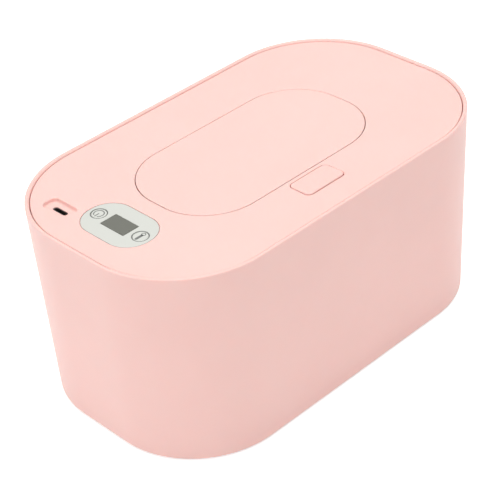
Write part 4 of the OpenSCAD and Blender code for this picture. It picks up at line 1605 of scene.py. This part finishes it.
@dataclass
class Leads:
    """The insulated leads of the heater and of the temperature sensor.

    Args:
        bend: Radius of a bend.
        heater: Diameter of a heater lead.
        sensor: Diameter of a sensor lead.
    """

    bend: float = 1.6
    heater: float = 1.2
    sensor: float = 0.8

    def build(self) -> None:
        """Makes both pairs of leads."""
        self._pair("heater_leads", self.heater / 2, Finish.RED_LEAD)
        self._pair("sensor_leads", self.sensor / 2, Finish.IVORY_LEAD)

    def _pair(self, node: str, radius: float, finish: Finish) -> None:
        """Lays two leads side by side: down from the board, across, and down again.

        Args:
            node: The node that they stand for.
            radius: Their radius.
            finish: Their finish.
        """
        place, surface = Place.of(node), Surface()
        low, high = place.levels
        level = (low + high) / 2
        start, end = place.low[0] + radius, place.high[0] - radius
        route = [
            (start, high, 0),
            (start, level, self.bend),
            (end, level, self.bend),
            (end, low, 0),
        ]
        line = rounded(route, steps=8)
        line[0, 1] -= radius
        line[-1, 1] += radius
        for y in (place.low[1] + radius, place.high[1] - radius):
            surface.tube(lifted(line, y)[:, [0, 2, 1]], radius, (0, 1, 0), 12)
        present(surface.make(node + "_wires"), Body.LID, finish, node)


# ---- The control panel ----



@dataclass
class ControlPanel:
    """The pale panel with its window, its two keys and the marks printed on them.

    Args:
        house: The shared sizes.
        key: Diameter of a key.
        key_gap: Gap round a key, on both sides together.
        stem: Radius of a key's stem, and the thickness of its flange.
        flange: Thickness of the window's flange.
        edge: Radius of the panel's upper edge.
        line: Width of a printed line.
        ring: Width of the ring round a key, and how far its middle lies outside the key.
        power: Radius of the power mark, its half opening in radians, and the ends of its bar.
        bulb: Place and radius of the thermometer's bulb, and the ends of its stem.
        bulb_line: Width of the bulb's line and of the stem, as shares of a line.
        ink: Thickness of the print.
    """

    house: Housing
    key: float = 6.55
    key_gap: float = 0.4
    stem: Pair = (1.5, 0.7)
    flange: float = 0.7
    edge: float = 0.15
    line: float = 0.46
    ring: Pair = (0.3, 0.32)
    power: tuple[float, float, float, float] = (2.2, 0.55, -2.3, -0.1)
    bulb: tuple[float, float, float, float] = (1.7, 0.85, -2.3, 0.75)
    bulb_line: Pair = (0.8, 2.8)
    ink: float = 0.02

    def build(self) -> None:
        """Makes every piece of the panel."""
        self._sheet()
        self._window()
        for node, body in KEYS.items():
            self._key(node, body)
        self._marks()

    def _sheet(self) -> None:
        """Makes the panel's sheet, with a hole for the window and for each key."""
        sheet, surface = Place.of("panel_overlay"), Surface()
        low, high = sheet.levels
        plan = Plan.box(sheet.size, sheet.size[0] / 2 - 0.5, sheet.at, 24)
        outline = [(-0.5, low, 0), (0, low, 0.05), (0, high, self.edge), (-0.5, high, 0)]
        bore = [(0.3, low, 0), (0, low, 0.05), (0, high, 0.1), (0.3, high, 0)]
        keys = [Plan.disc(self.key + self.key_gap, Place.of(key).at, 16) for key in KEYS]
        rims = [surface.wall(plan, outline, 4)]
        rims += [surface.wall(hole, bore, 3) for hole in (self.house.window_plan, *keys)]
        for height, loops in zip((low, high), zip(*rims)):
            surface.level(height, *loops)
        present(surface.make("panel_sheet"), Body.LID, Finish.PANEL, "panel_overlay")

    def _window(self) -> None:
        """Makes the display's window: its flange under the lid and the part that shows."""
        place, shown = Place.of("display_window"), self.house.window
        low, high = place.levels
        step, reach = low + self.flange, (place.size[0] - shown[0]) / 2
        corners = [
            (-0.25, low, 0),
            (reach, low, 0.1),
            (reach, step, 0.1),
            (0, step, 0.05),
            (0, high, 0.08),
            (-0.25, high, 0),
        ]
        window = Surface().solid(Plan.box(shown, 0.3, place.at, 4), corners, 3)
        present(window.make("display_pane"), Body.LID, Finish.LENS, "display_window")

    def _key(self, node: str, body: Body) -> None:
        """Makes a key: its stem, the flange that keeps it in and its cap with a round edge.

        Args:
            node: The node that it stands for.
            body: The body that it moves with.
        """
        place, radius, (stem, thickness) = Place.of(node), self.key / 2, self.stem
        low, high = place.levels
        flange, seat = place.size[0] / 2, Place.of("display_window").low[2] + 0.6
        corners = [
            (0.3, low, 0),
            (stem, low, 0.1),
            (stem, seat - thickness, 0.1),
            (flange, seat - thickness, 0.1),
            (flange, seat, 0.1),
            (radius, seat, 0.05),
            (radius, high, 0.25),
            (0.3, high, 0),
        ]
        key = Surface().solid(Plan(0, 0, 0, place.at, 16), corners)
        present(key.make(node + "_cap"), body, Finish.PANEL, node)

    def _stroke(self, surface: Surface, path: np.ndarray, width: float, face: float) -> None:
        """Adds a flat printed line with round ends.

        With the unit normal n of the path, the edges are path + n w / 2 and path - n w / 2, and w
        falls to nothing along a half circle past each end.

        Args:
            surface: The surface that it is added to.
            path: Its middle line, in X and Y.
            width: Its width.
            face: Height of the face that it is printed on.
        """
        first, last = ends_of(path)
        turn = np.linspace(math.pi / 2, 0, 5)[:-1]
        reach = np.sin(turn)[:, None] * width / 2
        line = np.concatenate([path[0] + reach * first, path, path[-1] + reach[::-1] * last])
        half = np.full(len(line), width / 2)
        half[: len(turn)] *= np.cos(turn)
        half[-len(turn) :] *= np.cos(turn)[::-1]
        tangent = np.gradient(line, axis=0)
        normal = np.stack([-tangent[:, 1], tangent[:, 0]], axis=1)
        normal *= (half / np.linalg.norm(normal, axis=1))[:, None]
        low, high = face - self.ink, face + self.ink
        edges = ((normal, low), (-normal, low), (-normal, high), (normal, high))
        surface.grid(np.stack([lifted(line + side, height) for side, height in edges], axis=1))

    def _ring(
        self, surface: Surface, centre: np.ndarray, radius: float, width: float, face: float
    ) -> None:
        """Adds a closed printed ring.

        Args:
            surface: The surface that it is added to.
            centre: Its middle.
            radius: Radius of its middle line.
            width: Its width.
            face: Height of the face that it is printed on.
        """
        inner, outer = radius - width / 2, radius + width / 2
        low, high = face - self.ink, face + self.ink
        section = [(inner, low), (outer, low), (outer, high), (inner, high), (inner, low)]
        surface.carry(np.array(section), Plan(0, 0, 0, tuple(centre), 16))

    def _marks(self) -> None:
        """Prints the key rings, the power mark and the thermometer.

        The power mark is a ring that is open towards -X with a bar in the opening. The
        thermometer has a ring for its bulb at +X and a wide bar for its stem.
        """
        rings, power, thermometer = Surface(), Surface(), Surface()
        face, (width, away) = Place.of("panel_overlay").high[2], self.ring
        for key in KEYS:
            centre = Place.of(key).middle[:2]
            self._ring(rings, centre, self.key / 2 + away, width, face)
        place = Place.of("power_key")
        centre, top = place.middle[:2], place.high[2]
        radius, opening, *bar = self.power
        arc = circle(radius, opening - math.pi, math.pi - opening, 60)
        self._stroke(power, centre + arc, self.line, top)
        self._stroke(power, centre + lifted(np.linspace(*bar, 8)[:, None]), self.line, top)
        place = Place.of("temperature_key")
        centre, top = place.middle[:2], place.high[2]
        away, radius, *bar = self.bulb
        line, stem = (self.line * share for share in self.bulb_line)
        self._ring(thermometer, centre + (away, 0), radius, line, top)
        self._stroke(thermometer, centre + lifted(np.linspace(*bar, 8)[:, None]), stem, top)
        for name, body, mark in (
            ("power_mark", Body.POWER_KEY, power),
            ("thermometer_mark", Body.TEMPERATURE_KEY, thermometer),
            ("key_rings", Body.LID, rings),
        ):
            present(mark.make(name), body, Finish.INK)


@dataclass
class PowerSocket:
    """The upright socket: a thin drawn shell, a contact blade and its contacts.

    Args:
        wall: Thickness of the shell.
        cavity: Depth that a plug enters.
        blade: Thickness and length of the contact blade, and its distance from the mouth.
        contacts: How many contacts the blade carries.
        pitch: Distance between them.
        contact: Width of a contact, how far it stands proud and how far below the mouth it ends.
    """

    wall: float = 0.3
    cavity: float = 4.6
    blade: Triple = (0.7, 6.7, 0.8)
    contacts: int = 12
    pitch: float = 0.5
    contact: Triple = (0.26, 0.03, 1.3)

    def build(self) -> None:
        """Makes the shell, the blade and the contacts."""
        place, wall = Place.of("usb_socket"), self.wall
        (low, top), (x, y) = place.levels, place.at
        floor, inner = top - self.cavity, -wall - 0.6
        corners = [
            (inner, low, 0),
            (0, low, 0.1),
            (0, top, 0.12),
            (-wall, top, 0.12),
            (-wall, floor, 0.05),
            (inner, floor, 0),
        ]
        plan = Plan.box(place.size, place.size[0] / 2 - SLIVER, place.at)
        shell, blade, contacts = Surface().solid(plan, corners, 3), Surface(), Surface()
        thick, long, down = self.blade[0] / 2, self.blade[1] / 2, self.blade[2]
        blade.block((x - thick, y - long, floor - 0.2), (x + thick, y + long, top - down), 0.2, 0.1)
        half, thick, down = self.contact[0] / 2, thick + self.contact[1], self.contact[2]
        for k in range(self.contacts):
            at = y + (k - (self.contacts - 1) / 2) * self.pitch
            foot, head = (x - thick, at - half, floor + 0.2), (x + thick, at + half, top - down)
            contacts.block(foot, head, 0.04, 0.02)
        # The shell's darkened steel is painted shade for the dark inside of the slot.
        present(shell.make("socket_shell"), Body.LID, Finish.SHADE_DARKENED_STEEL, "usb_socket")
        present(blade.make("socket_blade"), Body.LID, Finish.BLACK)
        present(contacts.make("socket_contacts"), Body.LID, Finish.GOLD)


# ---- The studio ----


@dataclass(frozen=True)
class Lamp:
    """A square soft light that faces the middle of the object.

    Args:
        name: Its name.
        place: Where it hangs, in metres.
        size: Its side in metres.
        power: Its power in watts.
        colour: Its colour.
    """

    name: str
    place: Triple
    size: float
    power: float
    colour: Triple = (1.0, 1.0, 1.0)

    def hang(self, target: Vector) -> None:
        """Hangs the lamp so that it faces a point.

        Args:
            target: The point, in metres.
        """
        data = bpy.data.lights.new(self.name, "AREA")
        data.shape, data.size = "SQUARE", self.size
        data.energy, data.color = self.power, self.colour
        facing = (target - Vector(self.place)).to_track_quat("-Z", "Y").to_matrix().to_4x4()
        placed(self.name, data).matrix_world = Matrix.Translation(self.place) @ facing


@dataclass
class Studio:
    """The camera of the photograph, a white floor and soft light.

    Args:
        azimuth: Direction of the view round the object, in degrees.
        elevation: Its height above the horizon, in degrees.
        roll: Its roll, in degrees.
        distance: Distance of the camera from its target.
        target: The point that it looks at.
        lens: Focal length on a 36 mm sensor.
        ambient: Strength of the surrounding light.
        floor_size: Half the side of the floor, in metres.
        floor_paint: How much light the floor gives back.
        floor_glow: How much of its white is its own where it is seen.
        lamps: The lamps.
    """

    azimuth: float = -41.989
    elevation: float = 35.017
    roll: float = -4.858
    distance: float = 721.235
    target: Triple = (-3.823, 2.579, 41.515)
    lens: float = 117.116
    ambient: float = 0.4
    floor_size: float = 6.0
    floor_paint: float = 0.92
    floor_glow: float = 0.6
    lamps: tuple[Lamp, ...] = (
        Lamp("overhead", (0.0, 0.0, 1.4), 1.2, 14.4, (1.0, 1.0, 0.965)),
        Lamp("left", (-1.3, 0.15, 0.4), 1.0, 4.6),
        Lamp("front", (0.25, -1.4, 0.3), 1.0, 3.4),
    )

    def _camera(self) -> None:
        """Places the camera behind its target along the view, with its roll."""
        a, e, r = (math.radians(angle) for angle in (self.azimuth, self.elevation, self.roll))
        back = Vector((math.sin(a) * math.cos(e), -math.cos(a) * math.cos(e), math.sin(e)))
        right = (-back).cross(Vector((0, 0, 1))).normalized()
        up = right.cross(-back)
        rolled = math.cos(r) * right + math.sin(r) * up
        rolled_up = -math.sin(r) * right + math.cos(r) * up
        data = bpy.data.cameras.new("camera")
        data.lens, data.sensor_width, data.clip_start, data.clip_end = self.lens, 36, 0.01, 20
        turn = Matrix((rolled, rolled_up, back)).transposed().to_4x4()
        camera = placed("camera", data)
        camera.matrix_world = (
            Matrix.Translation((Vector(self.target) + back * self.distance) * MM) @ turn
        )
        bpy.context.scene.camera = camera

    def _seen(self, graph: Graph) -> Socket:
        """Adds up the rays that show the background: straight, mirrored and through glass.

        Args:
            graph: The nodes that they are added to.

        Returns:
            The socket that is 1 for these rays and 0 for others.
        """
        rays = graph.add("LightPath", {}).outputs
        total = rays["Is Camera Ray"]
        for name in ("Is Glossy Ray", "Is Transmission Ray"):
            inputs = {0: total, 1: rays[name]}
            total = graph.add("Math", inputs, operation="ADD", use_clamp=True).outputs[0]
        return total

    def _world(self) -> None:
        """Surrounds the object with even white light, and shows white behind it."""
        world = bpy.data.worlds.new("studio")
        bpy.context.scene.world = world
        graph, white = Graph(world), (1, 1, 1, 1)
        light = graph.add("Background", {"Color": white, "Strength": self.ambient}).outputs[0]
        shown = graph.add("Background", {"Color": white, "Strength": 1.0}).outputs[0]
        mix = graph.add("MixShader", {0: self._seen(graph), 1: light, 2: shown})
        graph.add("OutputWorld", {"Surface": mix.outputs[0]})

    def _floor(self) -> None:
        """Lays a white floor that keeps a faint shadow: part of its white is its own."""
        mesh, reach = bpy.data.meshes.new("floor"), self.floor_size
        corners = [(-reach, -reach, 0), (reach, -reach, 0), (reach, reach, 0), (-reach, reach, 0)]
        mesh.from_pydata(corners, [], [(0, 1, 2, 3)])
        material = bpy.data.materials.new("floor_white")
        graph = Graph(material)
        paint = graph.add("BsdfDiffuse", {"Color": (*[self.floor_paint] * 3, 1)})
        part = graph.add("Math", {0: self._seen(graph), 1: self.floor_glow}, operation="MULTIPLY")
        glow = graph.add("Emission", {"Color": (1, 1, 1, 1), "Strength": part.outputs[0]})
        both = graph.add("AddShader", {0: paint.outputs[0], 1: glow.outputs[0]})
        graph.add("OutputMaterial", {"Surface": both.outputs[0]})
        mesh.materials.append(material)
        placed("floor", mesh)

    def build(self) -> None:
        """Sets the whole studio up."""
        self._camera()
        self._world()
        self._floor()
        for lamp in self.lamps:
            lamp.hang(Vector(self.target) * MM)
        bpy.context.scene.view_settings.view_transform = "Standard"


CARRIED = {
    "base_cover": Finish.PINK,
    "base_screws": Finish.STEEL,
    "cover_screws": Finish.STEEL,
    "board_screws": Finish.STEEL,
    "hinge_pin_left": Finish.STEEL,
    "hinge_pin_right": Finish.STEEL,
    "thermal_fuse": Finish.SILICONE,
    "heater_plate": Finish.ALUMINIUM,
    "heater_film": Finish.FILM,
    "control_board": Finish.BOARD,
    "latch_hook": Finish.NATURAL,
    "power_plunger": Finish.NATURAL,
    "temperature_plunger": Finish.NATURAL,
}


def dress_carried_nodes() -> None:
    """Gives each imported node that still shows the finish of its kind, and black to the rest."""
    for name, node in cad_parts.items():
        if node.hide_render:
            continue
        material = CARRIED.get(name, Finish.BLACK).value.material
        if not node.material_slots:
            node.data.materials.append(material)
        for slot in node.material_slots:
            slot.material = material


def main() -> None:
    """Builds the warmer piece by piece."""
    logging.basicConfig(level=logging.INFO, format="%(name)s: %(message)s")
    Studio().build()
    house = Housing()
    corners = [f"foot_{end}_{side}" for end in ("front", "rear") for side in ("left", "right")]
    for part in (
        OuterShell(house),
        InnerTub(house),
        *[RubberFoot(corner) for corner in corners],
        LidCover(house),
        Flap(house),
        ReleaseButton(house),
        ControlPanel(house),
        PowerSocket(),
        LidBase(house),
        SoftParts(house),
        Springs(),
        Leads(),
    ):
        part.build()
    dress_carried_nodes()


if __name__ == "__main__":
    main()
